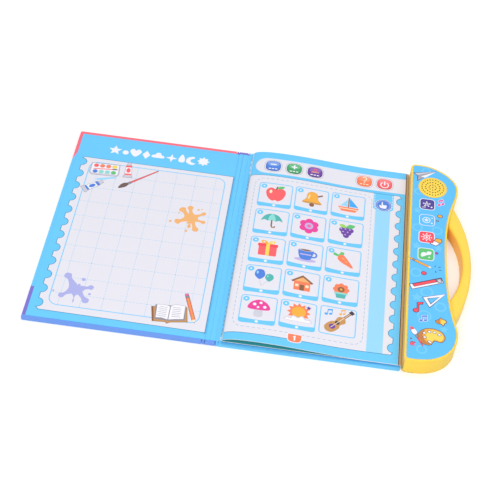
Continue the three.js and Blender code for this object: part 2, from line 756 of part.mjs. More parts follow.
function buildBatteries() {
  for (let i = 0; i < cellCount; i += 1) {
    const x = bayX0 + bayWall + cellGap + cellRadius + i * (2 * cellRadius + cellGap);
    const towards = i % 2 === 0 ? 1 : -1;
    const springEnd = towards > 0 ? bayY0 : bayY1;
    const capEnd = towards > 0 ? bayY1 : bayY0;
    const plateInner = springEnd + towards * contactThickness;
    const half = contactSize / 2;
    const slab = (a, b) => box(x - half, x + half, Math.min(a, b), Math.max(a, b), cellZ - half, cellZ + half);
    const coil = spring(x, plateInner, towards);
    const fixedEnd = slab(springEnd + towards * 0.02, plateInner + towards * 0.1);
    addPiece(`battery_spring_${i + 1}`, coil.add(fixedEnd), materials.steel);
    addPiece(`battery_contact_${i + 1}`, slab(capEnd - towards * contactThickness, capEnd - towards * 0.02), materials.steel);

    const body = cellLength - cellNub;
    const geometry = new THREE.LatheGeometry([
      [0, 0],
      [cellRadius - 0.6, 0],
      [cellRadius, 0.5],
      [cellRadius, body - 0.5],
      [cellRadius - 0.6, body],
      [cellRadius - 3.4, body],
      [cellRadius - 3.5, cellLength],
      [0, cellLength],
    ].map(([r, y]) => new THREE.Vector2(r, y)), 20);
    if (towards < 0) geometry.rotateZ(Math.PI);
    geometry.translate(x, plateInner + towards * springLength, cellZ);
    addPiece(`battery_${i + 1}`, toSolid(geometry), materials.cell);
  }

  let door = box(
    bayX0 + bayWall + fitGap, bayX1 - bayWall - fitGap, bayY0 + fitGap, bayY1 - fitGap, 0, doorThickness,
  );
  door = door.add(box(doorEarX - doorEarRadius, doorEarX + doorEarRadius, bayY1 - 1, doorEarY, 0, doorThickness));
  door = door.add(post(doorEarX, doorEarY, doorEarRadius, 0, doorThickness, 20));
  door = door.subtract(post(doorEarX, doorEarY, screwHoleRadius, -1, doorThickness + 1, 12));
  door = door.subtract(post(doorEarX, doorEarY, screwHeadRadius + seatGap, -1, 0.95));
  addPiece('battery_door', door, materials.housing);
  const piece = screw(doorEarX, doorEarY, 0.1, screwHeadRadius, 0.8, screwShankRadius, 5);
  addPiece('battery_door_screw', piece, materials.steel);
}

// A short insulated wire through the given points.
function lead(points) {
  const section = new THREE.Shape();
  section.absarc(0, 0, leadRadius, 0, 2 * Math.PI);
  return toSolid(new THREE.ExtrudeGeometry(section, {
    steps: 12,
    curveSegments: 4,
    bevelEnabled: false,
    extrudePath: new THREE.CatmullRomCurve3(points.map((p) => new THREE.Vector3(...p))),
  }));
}

function buildLeads() {
  const start = circuitTop + leadRadius + 0.1;
  const basketY = speakerY - basketRadius - 2 * leadRadius - seatGap;
  const bayY = bayY1 + bayWall + seatGap;
  [0, 1].forEach((i) => {
    const x = consoleLeft + boardLeft + speakerLeadX + i * leadPitch;
    const material = i === 0 ? materials.redLead : materials.blackLead;
    const z = ceilingHeight - basketDepth + 0.6;
    const toSpeaker = lead([
      [x, circuitTopY - 3, start], [x, circuitTopY + 4, start + 0.5],
      [x + 1, circuitTopY + leadBend, start], [x + 1, basketY, z],
    ]);
    addPiece(i === 0 ? 'speaker_lead_red' : 'speaker_lead_black', toSpeaker, material);
    const side = consoleLeft + boardLeft + batteryLeadX + i * batteryLeadPitch;
    const toBay = lead([
      [side, circuitBottomY + 4, start], [side, circuitBottomY - 3, start + 1.2],
      [side, bayY + 3, start + 1], [side, bayY, start + 0.6],
    ]);
    addPiece(i === 0 ? 'battery_lead_red' : 'battery_lead_black', toBay, material);
  });
}

buildCover();
buildPages();
buildHousing();
buildScrews();
buildElectronics();
buildSpeaker();
buildBatteries();
buildLeads();

export default soundBook;
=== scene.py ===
# %% [markdown]
# # An open sound book
# The object is a children's sound book that lies open: a card cover, a few
# pages and a yellow console with a speaker. The CAD model is loaded first and
# stays where it is. Everything that Blender adds is laid on it or stands for
# one of its parts. A book could be modelled from nothing here, but then its
# folds and sizes would have to be matched to the moving model afterwards.
# Lengths are written in millimetres and turned into metres by MM.
# %% Load the CAD model
import json
import math

import bmesh
import bpy
import numpy as np
from mathutils import Matrix, Vector
from mathutils.geometry import tessellate_polygon

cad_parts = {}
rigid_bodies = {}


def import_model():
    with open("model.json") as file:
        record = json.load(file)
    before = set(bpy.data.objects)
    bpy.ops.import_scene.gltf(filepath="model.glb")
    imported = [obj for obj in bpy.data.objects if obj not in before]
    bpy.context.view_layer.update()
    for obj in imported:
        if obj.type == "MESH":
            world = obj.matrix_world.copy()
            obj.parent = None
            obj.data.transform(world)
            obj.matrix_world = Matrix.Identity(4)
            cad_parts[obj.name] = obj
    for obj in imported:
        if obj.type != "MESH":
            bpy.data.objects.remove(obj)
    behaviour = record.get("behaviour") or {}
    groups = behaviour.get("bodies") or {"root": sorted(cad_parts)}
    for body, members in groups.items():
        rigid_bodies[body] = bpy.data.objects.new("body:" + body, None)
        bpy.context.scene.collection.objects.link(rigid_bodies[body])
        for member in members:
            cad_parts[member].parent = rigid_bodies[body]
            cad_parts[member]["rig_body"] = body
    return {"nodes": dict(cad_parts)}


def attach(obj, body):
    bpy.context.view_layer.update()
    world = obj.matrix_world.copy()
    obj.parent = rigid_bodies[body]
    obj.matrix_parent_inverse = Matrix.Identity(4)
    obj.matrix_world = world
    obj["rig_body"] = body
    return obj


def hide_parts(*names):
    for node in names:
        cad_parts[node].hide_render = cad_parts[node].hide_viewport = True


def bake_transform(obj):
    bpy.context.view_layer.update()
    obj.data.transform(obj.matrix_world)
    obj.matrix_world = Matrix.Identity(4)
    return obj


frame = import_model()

bpy.context.view_layer.update()
MM = 0.001

# %% [markdown]
# ## The camera
# The book is seen from the front and well above, by a camera that leans to
# one side. An aiming constraint keeps a camera upright, so this one is placed
# by a point and three directions: right, up and back.
# They come from its turn round the upright, its height above the horizon and
# its roll. The small shift moves the frame without changing the perspective.
# %% Camera
CAMERA_PLACE = (0.04549, -0.77569, 0.82530)
CAMERA_TURN, CAMERA_HEIGHT, CAMERA_ROLL = np.radians((2.673, 47.713, 5.682))
CAMERA_LENS, CAMERA_SHIFT = 85.54, (0.0058, 0.0316)


def camera_axes(turn, height, roll):
    """Right, up and back of a camera that looks at the object.

    back = (sin t cos h, -cos t cos h, sin h); right and up are then rolled
    about it: right' = cos r right + sin r up.
    """
    level = math.cos(height)
    back = Vector((math.sin(turn) * level, -math.cos(turn) * level, math.sin(height)))
    right = Vector((math.cos(turn), math.sin(turn), 0))
    up = back.cross(right)
    return (
        right * math.cos(roll) + up * math.sin(roll),
        up * math.cos(roll) - right * math.sin(roll),
        back,
    )


camera = bpy.data.objects.new("camera", bpy.data.cameras.new("camera"))
bpy.context.scene.collection.objects.link(camera)
bpy.context.scene.camera = camera
axes = Matrix(camera_axes(CAMERA_TURN, CAMERA_HEIGHT, CAMERA_ROLL)).transposed()
camera.matrix_world = Matrix.Translation(CAMERA_PLACE) @ axes.to_4x4()
camera.data.lens = CAMERA_LENS
camera.data.shift_x, camera.data.shift_y = CAMERA_SHIFT
print("camera at", CAMERA_PLACE)

# %% [markdown]
# ## Colours and nodes
# A colour is written as a screen shows it, but a shader works with linear
# light, so it goes through the standard curve first. Nodes could be laid out
# by hand in the editor. Here one function adds every node and sets plain
# values and links in the same way, so that a recipe reads from the top down.
# %% Helpers for materials
def linear(code):
    """RGBA of a hex colour: c / 12.92 up to 0.04045, ((c + 0.055) / 1.055) ** 2.4 above."""
    part = np.array([int(code[i : i + 2], 16) for i in (0, 2, 4)]) / 255
    part = np.where(part <= 0.04045, part / 12.92, ((part + 0.055) / 1.055) ** 2.4)
    return (*part, 1.0)


def add(tree, kind, inputs=None, **settings):
    """One new node with its settings made and its inputs set or linked."""
    new = tree.nodes.new("ShaderNode" + kind)
    for name, value in settings.items():
        setattr(new, name, value)
    for name, value in (inputs or {}).items():
        if isinstance(value, bpy.types.NodeSocket):
            tree.links.new(value, new.inputs[name])
        else:
            new.inputs[name].default_value = value
    return new


def new_material(name):
    """An empty material and its node tree."""
    made = bpy.data.materials.new(name)
    made.use_nodes = True
    made.node_tree.nodes.clear()
    return made, made.node_tree


print("white is", linear("FFFFFF"))

# %% [markdown]
# ## Finishes
# The book is laminated card, coated paper, moulded plastic and some metal.
# Each could have a shader of its own, but they differ only in colour, gloss
# and grain, so one recipe serves all of them. A slow noise shifts the colour
# a little, as print and moulding do, and a fine noise gives the grain through
# a bump and through the roughness. Real grain of about 0.05 mm is too fine
# to show in the picture, so it is drawn coarser, at 0.2 to 0.7 mm.
# %% Finishes
# The patches of the slow noise and the depth of the grain, in millimetres.
PATCH, GRAIN_DEPTH = 25.0, 0.1
GLOSS_SHIFT = 0.06


def finish(name, ink, rough, tone=0.04, grain=0.1, fine=2 / 3, **shader):
    """A material: ink is a hex colour, the word ink for the print's attribute, or a function.

    A function gets the tree and the place. The grain is fine millimetres wide.
    colour = ink * (1 - tone .. 1 + tone) by the slow noise of PATCH millimetres,
    roughness = rough - GLOSS_SHIFT .. rough + GLOSS_SHIFT by the fine one.
    """
    made, tree = new_material(name)
    place = add(tree, "TexCoord").outputs["Object"]
    slow = {"Vector": place, "Scale": 1 / (PATCH * MM), "Detail": 3.0}
    quick = {"Vector": place, "Scale": 1 / (fine * MM), "Detail": 2.0}
    slow, quick = (add(tree, "TexNoise", noise).outputs["Fac"] for noise in (slow, quick))
    if callable(ink):
        colour = ink(tree, place)
    elif ink == "ink":
        colour = add(tree, "Attribute", attribute_name="ink").outputs["Color"]
    else:
        colour = linear(ink)
    shade = add(tree, "MapRange", {"Value": slow, "To Min": 1 - tone, "To Max": 1 + tone})
    toned = {0: 1.0, 6: colour, 7: shade.outputs["Result"]}
    toned = add(tree, "Mix", toned, data_type="RGBA", blend_type="MULTIPLY")
    gloss = {"Value": quick, "To Min": rough - GLOSS_SHIFT, "To Max": rough + GLOSS_SHIFT}
    gloss = add(tree, "MapRange", gloss)
    bump = add(tree, "Bump", {"Height": quick, "Strength": grain, "Distance": GRAIN_DEPTH * MM})
    inputs = {
        "Base Color": toned.outputs[2],
        "Roughness": gloss.outputs["Result"],
        "Normal": bump.outputs[0],
    }
    inputs.update({key.replace("_", " "): value for key, value in shader.items()})
    surface = add(tree, "BsdfPrincipled", inputs)
    add(tree, "OutputMaterial", {"Surface": surface.outputs[0]})
    return made


def along(tree, place, run):
    """The sum of place * run over the three axes, with run per millimetre."""
    per_metre = tuple(part / MM for part in run)
    product = add(tree, "VectorMath", {0: place, 1: per_metre}, operation="DOT_PRODUCT")
    return product.outputs["Value"]


def inside(tree, place, zone):
    """1 where each coordinate lies within its (low, high) range in millimetres, else 0."""
    mask = 1.0
    for run, (low, high) in zip(((1, 0, 0), (0, 1, 0), (0, 0, 1)), zone):
        test = {0: along(tree, place, run), 1: (low + high) / 2, 2: (high - low) / 2}
        within = add(tree, "Math", test, operation="COMPARE").outputs[0]
        mask = add(tree, "Math", {0: within, 1: mask}, operation="MULTIPLY").outputs[0]
    return mask


def choose(tree, mask, first, second):
    """The second colour where the mask is 1, else the first."""
    return add(tree, "Mix", {0: mask, 6: first, 7: second}, data_type="RGBA").outputs[2]


# The cover's outer print turns round its edges in several colours.
WRAP_BLUE, WRAP_RED, WRAP_VIOLET, WRAP_PERIWINKLE = "68C6F8", "F86A7E", "7A6FCB", "6A97E8"
ALL_Y, ALL_Z = (-140, 140), (-2, 5)
WRAP_ZONES = (
    (WRAP_VIOLET, ((-17.2, -5.4), ALL_Y, (-2, 0.6))),
    (WRAP_PERIWINKLE, ((-190, -5.4), (-130, -122.2), ALL_Z)),
    (WRAP_VIOLET, ((-190, -176.4), (-122.2, -88), ALL_Z)),
    (WRAP_RED, ((-190, -17.2), (122.2, 130), ALL_Z)),
    (WRAP_VIOLET, ((-17.2, -5.4), (122.2, 130), ALL_Z)),
)
SLANT_RUN, SLANT_START = (-1 / 3.2, 1 / 11, 0), 63.95


def wrap_print(tree, place):
    """Blue, with the zones that show at the edges, and red at the upper left.

    The red begins where -x / 3.2 + y / 11 is over SLANT_START, in millimetres.
    """
    colour = linear(WRAP_BLUE)
    for ink, zone in WRAP_ZONES:
        colour = choose(tree, inside(tree, place, zone), colour, linear(ink))
    beyond = {0: along(tree, place, SLANT_RUN), 1: SLANT_START}
    beyond = add(tree, "Math", beyond, operation="GREATER_THAN").outputs[0]
    return choose(tree, beyond, colour, linear(WRAP_RED))


# Light thrown back and forth makes the console's wall beside the page and the
# handle's inner wall a deeper, warmer yellow. The lamps here don't bring that
# out enough, so it is painted in: these two zones have a second colour.
HOUSING_YELLOW, HOUSING_SHADE = "FFD650", "FFC868"
SHADED_WALLS = (((158.6, 160.2), ALL_Y, (0, 16.8)), ((195, 212), (-46, 46), (1, 13.4)))


def housing_ink(tree, place):
    """Yellow plastic, with the second colour painted on the walls in SHADED_WALLS."""
    colour = linear(HOUSING_YELLOW)
    for zone in SHADED_WALLS:
        colour = choose(tree, inside(tree, place, zone), colour, linear(HOUSING_SHADE))
    return colour


FINISHES = {
    # Print under clear film: full colour with a broad, soft reflection.
    "cover_wrap": finish("laminated_cover_wrap", wrap_print, 0.38, Specular_IOR_Level=0.4),
    # The same film on thinner paper: flatter, with hardly any grain.
    "lining": finish(
        "laminated_lining_paper", "68C8FB", 0.45, grain=0.06, Specular_IOR_Level=0.35
    ),
    # Smooth plastic film that a marker can be wiped off: the clearest gloss.
    "white_film": finish(
        "wipe_clean_film", "ink", 0.32, tone=0.012, grain=0.03, Specular_IOR_Level=0.4
    ),
    # The cut edge and body of page card: warm white without a reflection.
    "paper": finish("coated_page_card", "F1EFEA", 0.55, grain=0.2),
    # Ink on coated card: even colour with a faint sheen.
    "white_print": finish(
        "printed_page", "ink", 0.48, tone=0.015, grain=0.08, Specular_IOR_Level=0.35
    ),
    # A thin brown film with conductors, dull and only seen from the side.
    "membrane": finish("touch_membrane_film", "6B6258", 0.5),
    # Light enters this plastic a little way, so its shadows stay warm.
    "housing": finish(
        "moulded_yellow_plastic", housing_ink, 0.42, tone=0.015, fine=0.4,
        Specular_IOR_Level=0.3, Subsurface_Weight=0.12, Subsurface_Scale=0.006,
    ),
    # Printed film that is glued on: flat colour, glossier than the page.
    "label": finish(
        "printed_label_film", "ink", 0.36, tone=0.012, grain=0.04, Specular_IOR_Level=0.35
    ),
    # Zinc gives springs and contacts a bright grey reflection.
    "steel": finish("zinc_plated_steel", "B9BCC0", 0.3, Metallic=1.0),
    # Blackened screws reflect as metal does, but darkly.
    "dark_steel": finish("blackened_steel", "4A4C50", 0.42, Metallic=1.0),
    # Pressed pulp: black, rough and matt.
    "cone_paper": finish("speaker_cone_paper", "2A2A2C", 0.7, grain=0.3),
    # Green lacquer over copper: smooth and shiny.
    "circuit": finish("circuit_board_lacquer", "1F6B43", 0.35),
    # Chips and plugs: black with a grey sheen.
    "black_plastic": finish("moulded_black_plastic", "1E1F22", 0.45),
    # Film shrunk round a cell: a strong colour that shines.
    "cell_sleeve": finish("printed_cell_sleeve", "2E5EA8", 0.3),
    # Soft plastic round the wires, a little waxy.
    "red_lead": finish("red_lead_insulation", "C8312E", 0.45),
    "black_lead": finish("black_lead_insulation", "242427", 0.45),
}
# Twisted fibres scatter the light, so thread is rough and matt. The stitches
# are painted a dark blue, the shade of thread sunk in its needle holes; the
# loose ends keep the thread's white.
STITCH_SHADE_THREAD = finish("stitches_painted_shade", "3F7FA6", 0.7, grain=0.5, fine=0.25)
LOOSE_THREAD = finish("loose_thread", "EEF4FA", 0.7, grain=0.5, fine=0.25)
# Rough, matt plugs in the grille's holes, painted dark: the shade in the holes with the dark
# speaker behind them.
HOLE_SHADE_PLUGS = finish("grille_holes_painted_shade", "3A2A12", 0.8, grain=0.4, fine=0.2)
# The lower leaves' edges are painted a dark blue, the shade that lies under
# the loose leaf.
SHADED_PAGE_EDGES = finish("page_edges_painted_shade", "2E97DA", 0.6, grain=0.3, fine=0.25)
print("finishes:", len(FINISHES))

# %% [markdown]
# ## Floor and light
# The book lies on a white ground with a faint shadow round it. A shadow
# catcher would show the shadow alone. A plain pale plane also throws light up
# at the book's edges, as a real ground does. For the camera it is lifted to
# white, but it still takes the shadow. A broad world light and two soft lamps
# bring a colour out about as it is written.
# %% Floor and light
WORLD_LEVEL = 0.6
FLOOR_LIFT = 0.27
FLOOR_HALF = 3


def seen_directly(tree):
    """1 for rays that the camera, a reflection or a clear pane sends, else 0."""
    path = add(tree, "LightPath")
    seen = path.outputs["Is Camera Ray"]
    for kind in ("Is Glossy Ray", "Is Transmission Ray"):
        seen = add(tree, "Math", {0: seen, 1: path.outputs[kind]}, operation="MAXIMUM").outputs[0]
    return seen


def lamp(name, place, size, power, colour):
    """A square lamp that faces the middle of the object."""
    light = bpy.data.lights.new(name, "AREA")
    light.size, light.energy, light.color = size, power, linear(colour)[:3]
    holder = bpy.data.objects.new(name, light)
    bpy.context.scene.collection.objects.link(holder)
    holder.location = place
    holder.rotation_mode = "QUATERNION"
    holder.rotation_quaternion = Vector(place).to_track_quat("Z", "Y")


world = bpy.data.worlds.new("studio")
bpy.context.scene.world = world
world.use_nodes = True
world.node_tree.nodes.clear()
level = {"Value": seen_directly(world.node_tree), "To Min": WORLD_LEVEL, "To Max": 1.0}
level = add(world.node_tree, "MapRange", level).outputs["Result"]
sky = add(world.node_tree, "Background", {"Color": linear("FFFFFF"), "Strength": level})
add(world.node_tree, "OutputWorld", {"Surface": sky.outputs[0]})

paint, tree = new_material("pale_floor")
matt = add(tree, "BsdfDiffuse", {"Color": linear("E6E6E6")})
lift = add(tree, "MapRange", {"Value": seen_directly(tree), "To Max": FLOOR_LIFT})
lift = {"Color": linear("FFFFFF"), "Strength": lift.outputs["Result"]}
lift = add(tree, "Emission", lift)
both = add(tree, "AddShader", {0: matt.outputs[0], 1: lift.outputs[0]})
add(tree, "OutputMaterial", {"Surface": both.outputs[0]})
mesh = bpy.data.meshes.new("floor")
corners = [(x * FLOOR_HALF, y * FLOOR_HALF, 0) for x, y in ((-1, -1), (1, -1), (1, 1), (-1, 1))]
mesh.from_pydata(corners, [], [(0, 1, 2, 3)])
mesh.materials.append(paint)
floor = bpy.data.objects.new("floor", mesh)
bpy.context.scene.collection.objects.link(floor)
lamp("key_lamp", (-0.35, -1.35, 1.25), 1.1, 17.0, "FFFDFA")
lamp("fill_lamp", (0.7, 0.5, 1.5), 1.3, 8.0, "FAFCFF")
bpy.context.scene.view_settings.view_transform = "Standard"
print("floor and light ready")

# %% [markdown]
# ## Flat outlines
# All print on the book is flat shapes of plain colour. An image would need a
# picture file and would blur close up, so each shape is an outline in the
# plane, in millimetres, and stays sharp. Each function gives an array of
# points, so that a whole figure can be scaled, turned and moved at once.
# %% Outlines
def disc(x, y, r, ry=None, n=28):
    """Ellipse: (x + r cos a, y + ry sin a)."""
    a = np.linspace(0, 2 * np.pi, n, endpoint=False)
    return np.stack((x + r * np.cos(a), y + (ry or r) * np.sin(a)), 1)


def rounded(x0, x1, y0, y1, r, n=7):
    """Rectangle whose corners are quarter circles of radius r: (x + r cos a, y + r sin a)."""
    a = np.radians(np.linspace(0, 90, n))
    turns = [
        (x1 - r, y1 - r, 0), (x0 + r, y1 - r, 90), (x0 + r, y0 + r, 180), (x1 - r, y0 + r, 270),
    ]
    arcs = [(x, y, a + np.radians(t)) for x, y, t in turns]
    return np.concatenate([np.stack((x + r * np.cos(b), y + r * np.sin(b)), 1) for x, y, b in arcs])


def squircle(x, y, r, ry, power, n=32):
    """Superellipse: x + r * sign(cos a) * |cos a| ** (2 / power), and the same with sin a for y."""
    a = np.linspace(0, 2 * np.pi, n, endpoint=False)
    bent = [np.sign(f) * np.abs(f) ** (2 / power) for f in (np.cos(a), np.sin(a))]
    return np.stack((x + r * bent[0], y + ry * bent[1]), 1)


def shape(*points):
    """Straight-sided outline through points given as x, y, x, y and so on."""
    return np.array(points, float).reshape(-1, 2)


def smooth(*points, n=5):
    """Closed curve through the points: a Catmull-Rom spline with n steps between two.

    Between b and c, with their neighbours a and d, a point is half of
    2b + (c - a) t + (2a - 5b + 4c - d) t^2 + (3b - a - 3c + d) t^3.
    """
    p = shape(*points)
    a, b, c, d = (np.roll(p, k, 0)[:, None] for k in (1, 0, -1, -2))
    t = np.linspace(0, 1, n, endpoint=False)[None, :, None]
    curve = 2 * b + (c - a) * t
    curve = curve + (2 * a - 5 * b + 4 * c - d) * t**2 + (3 * b - a - 3 * c + d) * t**3
    return (curve / 2).reshape(-1, 2)


def stroke(points, width, end=None):
    """Strip along a line of points: p +- width / 2 across the line's way.

    It may taper to a second width at its end.
    """
    p = np.array(points, float).reshape(-1, 2)
    way = np.gradient(p, axis=0) if len(p) > 2 else np.repeat(p[1:] - p[:-1], 2, 0)
    way /= np.linalg.norm(way, axis=1)[:, None]
    half = np.linspace(width, width if end is None else end, len(p))[:, None] / 2
    side = np.stack((-way[:, 1], way[:, 0]), 1) * half
    return np.concatenate((p + side, (p - side)[::-1]))


def star(x, y, r, inner, points=5):
    """Star with its tips at radius r, the first one up, and its notches at radius inner."""
    a = np.pi / 2 + np.arange(2 * points) * np.pi / points
    reach = np.where(np.arange(2 * points) % 2, inner, r)
    return np.stack((x + reach * np.cos(a), y + reach * np.sin(a)), 1)


ARM = ((0.62, -0.28), (0.86, -0.5), (1.0, 0), (0.86, 0.5), (0.62, 0.28))


def splat(x, y, core, arms):
    """Blot: a curve that runs out along each arm and back to the core between two.

    An arm is (angle, reach, width). ARM holds its five points: the shares of
    the reach along it and of the width across it.
    """
    points = []
    angles = [arm[0] for arm in arms]
    for (angle, reach, width), after in zip(arms, angles[1:] + [angles[0] + 360]):
        a, b = math.radians(angle), math.radians((angle + after) / 2)
        for share, side in ARM:
            out, off = reach * share, side * width
            points += [x + out * math.cos(a) - off * math.sin(a)]
            points += [y + out * math.sin(a) + off * math.cos(a)]
        points += [x + core * math.cos(b), y + core * math.sin(b)]
    return smooth(*points)


def dashes(points, dash, gap, width):
    """Strips along a line: one of length dash after each gap."""
    p = np.array(points, float).reshape(-1, 2)
    run = np.concatenate(([0], np.cumsum(np.linalg.norm(np.diff(p, axis=0), axis=1))))
    count = max(1, int(run[-1] / (dash + gap)))
    starts = (np.arange(count) + 0.5) * run[-1] / count - dash / 2
    made = []
    for start in starts:
        s = np.array((start, start + dash / 2, start + dash))
        made.append(
            stroke(np.stack((np.interp(s, run, p[:, 0]), np.interp(s, run, p[:, 1])), 1), width)
        )
    return made


def frame_line(x0, x1, y0, y1, r, width):
    """Outer and inner loop of a line round a rounded rectangle."""
    inner = rounded(x0 + width, x1 - width, y0 + width, y1 - width, max(r - width, 0.1))
    return [rounded(x0, x1, y0, y1, r), inner]


def closed(points):
    """The points with the first one again at the end."""
    return np.concatenate((points, points[:1]))


def moved(figure, x, y, scale=1.0, turn=0.0):
    """Each outline of a figure as scale * R(turn) p + (x, y)."""
    a = math.radians(turn)
    spin = np.array(((math.cos(a), -math.sin(a)), (math.sin(a), math.cos(a)))) * scale
    return [(ink, [loop @ spin.T + (x, y) for loop in loops]) for ink, loops in figure]


def drawn(*parts):
    """A figure from inks and outlines. An ink holds for all outlines up to the next ink.

    An outline may be a list: the outline and its holes.
    """
    figure = []
    for part in parts:
        if isinstance(part, str):
            ink = part
        else:
            figure.append((ink, part if isinstance(part, list) else [part]))
    return figure


print("a star has", len(star(0, 0, 2, 1)), "points")

# %% [markdown]
# ## From outlines to solids
# Ink on paper is a film too thin to see. Shapes in one plane would flicker
# through each other, so a print is a very thin closed slab, and each lies one
# layer higher than the one under it. On the curved leaf it is first cut into
# narrow strips across the curve, then raised by the leaf's height, so that it
# lies on the paper everywhere.
# %% Solids
LAYER = 0.012
PRINT_DEPTH = 0.03
# Triangles under SLIVER are left out; corners nearer than WELD become one.
SLIVER, CUT_SLACK, WELD = 1e-7, 1e-4, 0.002
# Edges sharper than these angles, in degrees, stay sharp or are softened.
SHEET_ANGLE, PART_ANGLE, BEVEL_ANGLE = 40, 32, 50


def link_piece(mesh, name, body, materials, replaced=()):
    """Puts a mesh in the scene, on a body, with its finish and the parts it stands for."""
    for made in materials:
        mesh.materials.append(made)
    piece = bpy.data.objects.new(name, mesh)
    bpy.context.scene.collection.objects.link(piece)
    if body:
        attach(piece, body)
    if replaced:
        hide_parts(*replaced)
    return piece


def mesh_from(name, points, faces, angle=30):
    """A mesh from points in millimetres, shaded smooth but for edges sharper than the angle."""
    mesh = bpy.data.meshes.new(name)
    mesh.from_pydata((np.asarray(points, float) * MM).tolist(), [], faces)
    mesh.shade_smooth()
    mesh.set_sharp_from_angle(angle=math.radians(angle))
    return mesh


def prism(loops, low, high, cuts=()):
    """Points and faces of the solid between two heights over an outline with holes.

    The outline is filled with triangles, cut at each x of cuts, and extruded.
    """
    bm = bmesh.new()
    flat = [Vector((x, y, 0)) for loop in loops for x, y in loop]
    corners = [bm.verts.new(p) for p in flat]
    for a, b, c in tessellate_polygon([[Vector((x, y, 0)) for x, y in loop] for loop in loops]):
        if abs((flat[b] - flat[a]).cross(flat[c] - flat[a]).z) > SLIVER:
            bm.faces.new((corners[a], corners[b], corners[c]))
    xs = [p.x for p in flat]
    for x in cuts:
        if min(xs) < x < max(xs):
            everything = bm.verts[:] + bm.edges[:] + bm.faces[:]
            bmesh.ops.bisect_plane(
                bm, geom=everything, dist=CUT_SLACK, plane_co=(x, 0, 0), plane_no=(1, 0, 0)
            )
    raised = bmesh.ops.extrude_face_region(bm, geom=bm.faces[:], use_keep_orig=True)
    for v in bm.verts:
        v.co.z = low
    for v in raised["geom"]:
        if isinstance(v, bmesh.types.BMVert):
            v.co.z = high
    bmesh.ops.delete(bm, geom=[v for v in bm.verts if not v.link_faces], context="VERTS")
    bmesh.ops.recalc_face_normals(bm, faces=bm.faces[:])
    bm.verts.index_update()
    points = np.array([v.co[:] for v in bm.verts])
    faces = [[v.index for v in f.verts] for f in bm.faces]
    bm.free()
    return points, faces


def printed(name, figures, body, slot, base, lift=None, cuts=(), replaced=()):
    """One piece from many figures, each given with the layer that it starts on.

    Each outline of a figure lies one layer above the one before it:
    top = base + PRINT_DEPTH + LAYER * (start + k).
    """
    points, faces, inks = [], [], []
    count = 0
    for start, figure in figures:
        for k, (ink, loops) in enumerate(figure):
            top = base + PRINT_DEPTH + LAYER * (start + k)
            p, f = prism(loops, base - PRINT_DEPTH, top, cuts)
            points.append(p)
            faces += [[i + count for i in face] for face in f]
            inks += [linear(INKS.get(ink, ink))] * sum(len(face) for face in f)
            count += len(p)
    points = np.concatenate(points)
    if lift is not None:
        points[:, 2] += lift(points[:, 0])
    mesh = mesh_from(name, points, faces)
    colours = mesh.attributes.new("ink", "FLOAT_COLOR", "CORNER")
    colours.data.foreach_set("color", np.array(inks, np.float32).ravel())
    print(name, len(figures), "figures,", len(faces), "faces")
    return link_piece(mesh, name, body, [FINISHES[slot]], replaced)


def along_page(name, profile, y0, y1, body, slot, replaced=(), material=None):
    """A closed profile of (x, z) points drawn along the page from y0 to y1."""
    p = np.asarray(profile, float)
    n = len(p)
    points = np.concatenate([np.stack((p[:, 0], np.full(n, y), p[:, 1]), 1) for y in (y0, y1)])
    faces = [[i, (i + 1) % n, n + (i + 1) % n, n + i] for i in range(n)]
    for a, b, c in tessellate_polygon([[Vector((x, z, 0)) for x, z in p]]):
        faces += [[a, b, c], [n + a, n + c, n + b]]
    mesh = mesh_from(name, points, faces, SHEET_ANGLE)
    bm = bmesh.new()
    bm.from_mesh(mesh)
    bmesh.ops.recalc_face_normals(bm, faces=bm.faces[:])
    bm.to_mesh(mesh)
    bm.free()
    return link_piece(mesh, name, body, [material or FINISHES[slot]], replaced)


def dressed(node, bevel=0.0):
    """A welded, smooth-shaded copy of a CAD part, with soft edges if asked."""
    part, slot = frame["nodes"][node], SLOTS[node]
    bm = bmesh.new()
    bm.from_mesh(part.data)
    bmesh.ops.remove_doubles(bm, verts=bm.verts[:], dist=WELD * MM)
    mesh = bpy.data.meshes.new(node + "_finished")
    bm.to_mesh(mesh)
    bm.free()
    mesh.shade_smooth()
    mesh.set_sharp_from_angle(angle=math.radians(PART_ANGLE))
    piece = link_piece(mesh, node + "_finished", part["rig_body"], [FINISHES[slot]], [node])
    if bevel:
        soft = piece.modifiers.new("soft_edges", "BEVEL")
        soft.width, soft.segments = bevel * MM, 3
        soft.limit_method, soft.angle_limit = "ANGLE", math.radians(BEVEL_ANGLE)
        soft.harden_normals = True
    even = piece.modifiers.new("even_shading", "WEIGHTED_NORMAL")
    even.keep_sharp = True
    return piece


SLOTS = {name: part.material_slots[0].material.name for name, part in frame["nodes"].items()}
for name, part in frame["nodes"].items():
    part.material_slots[0].material = FINISHES[SLOTS[name]]
print("every CAD part has its finish")

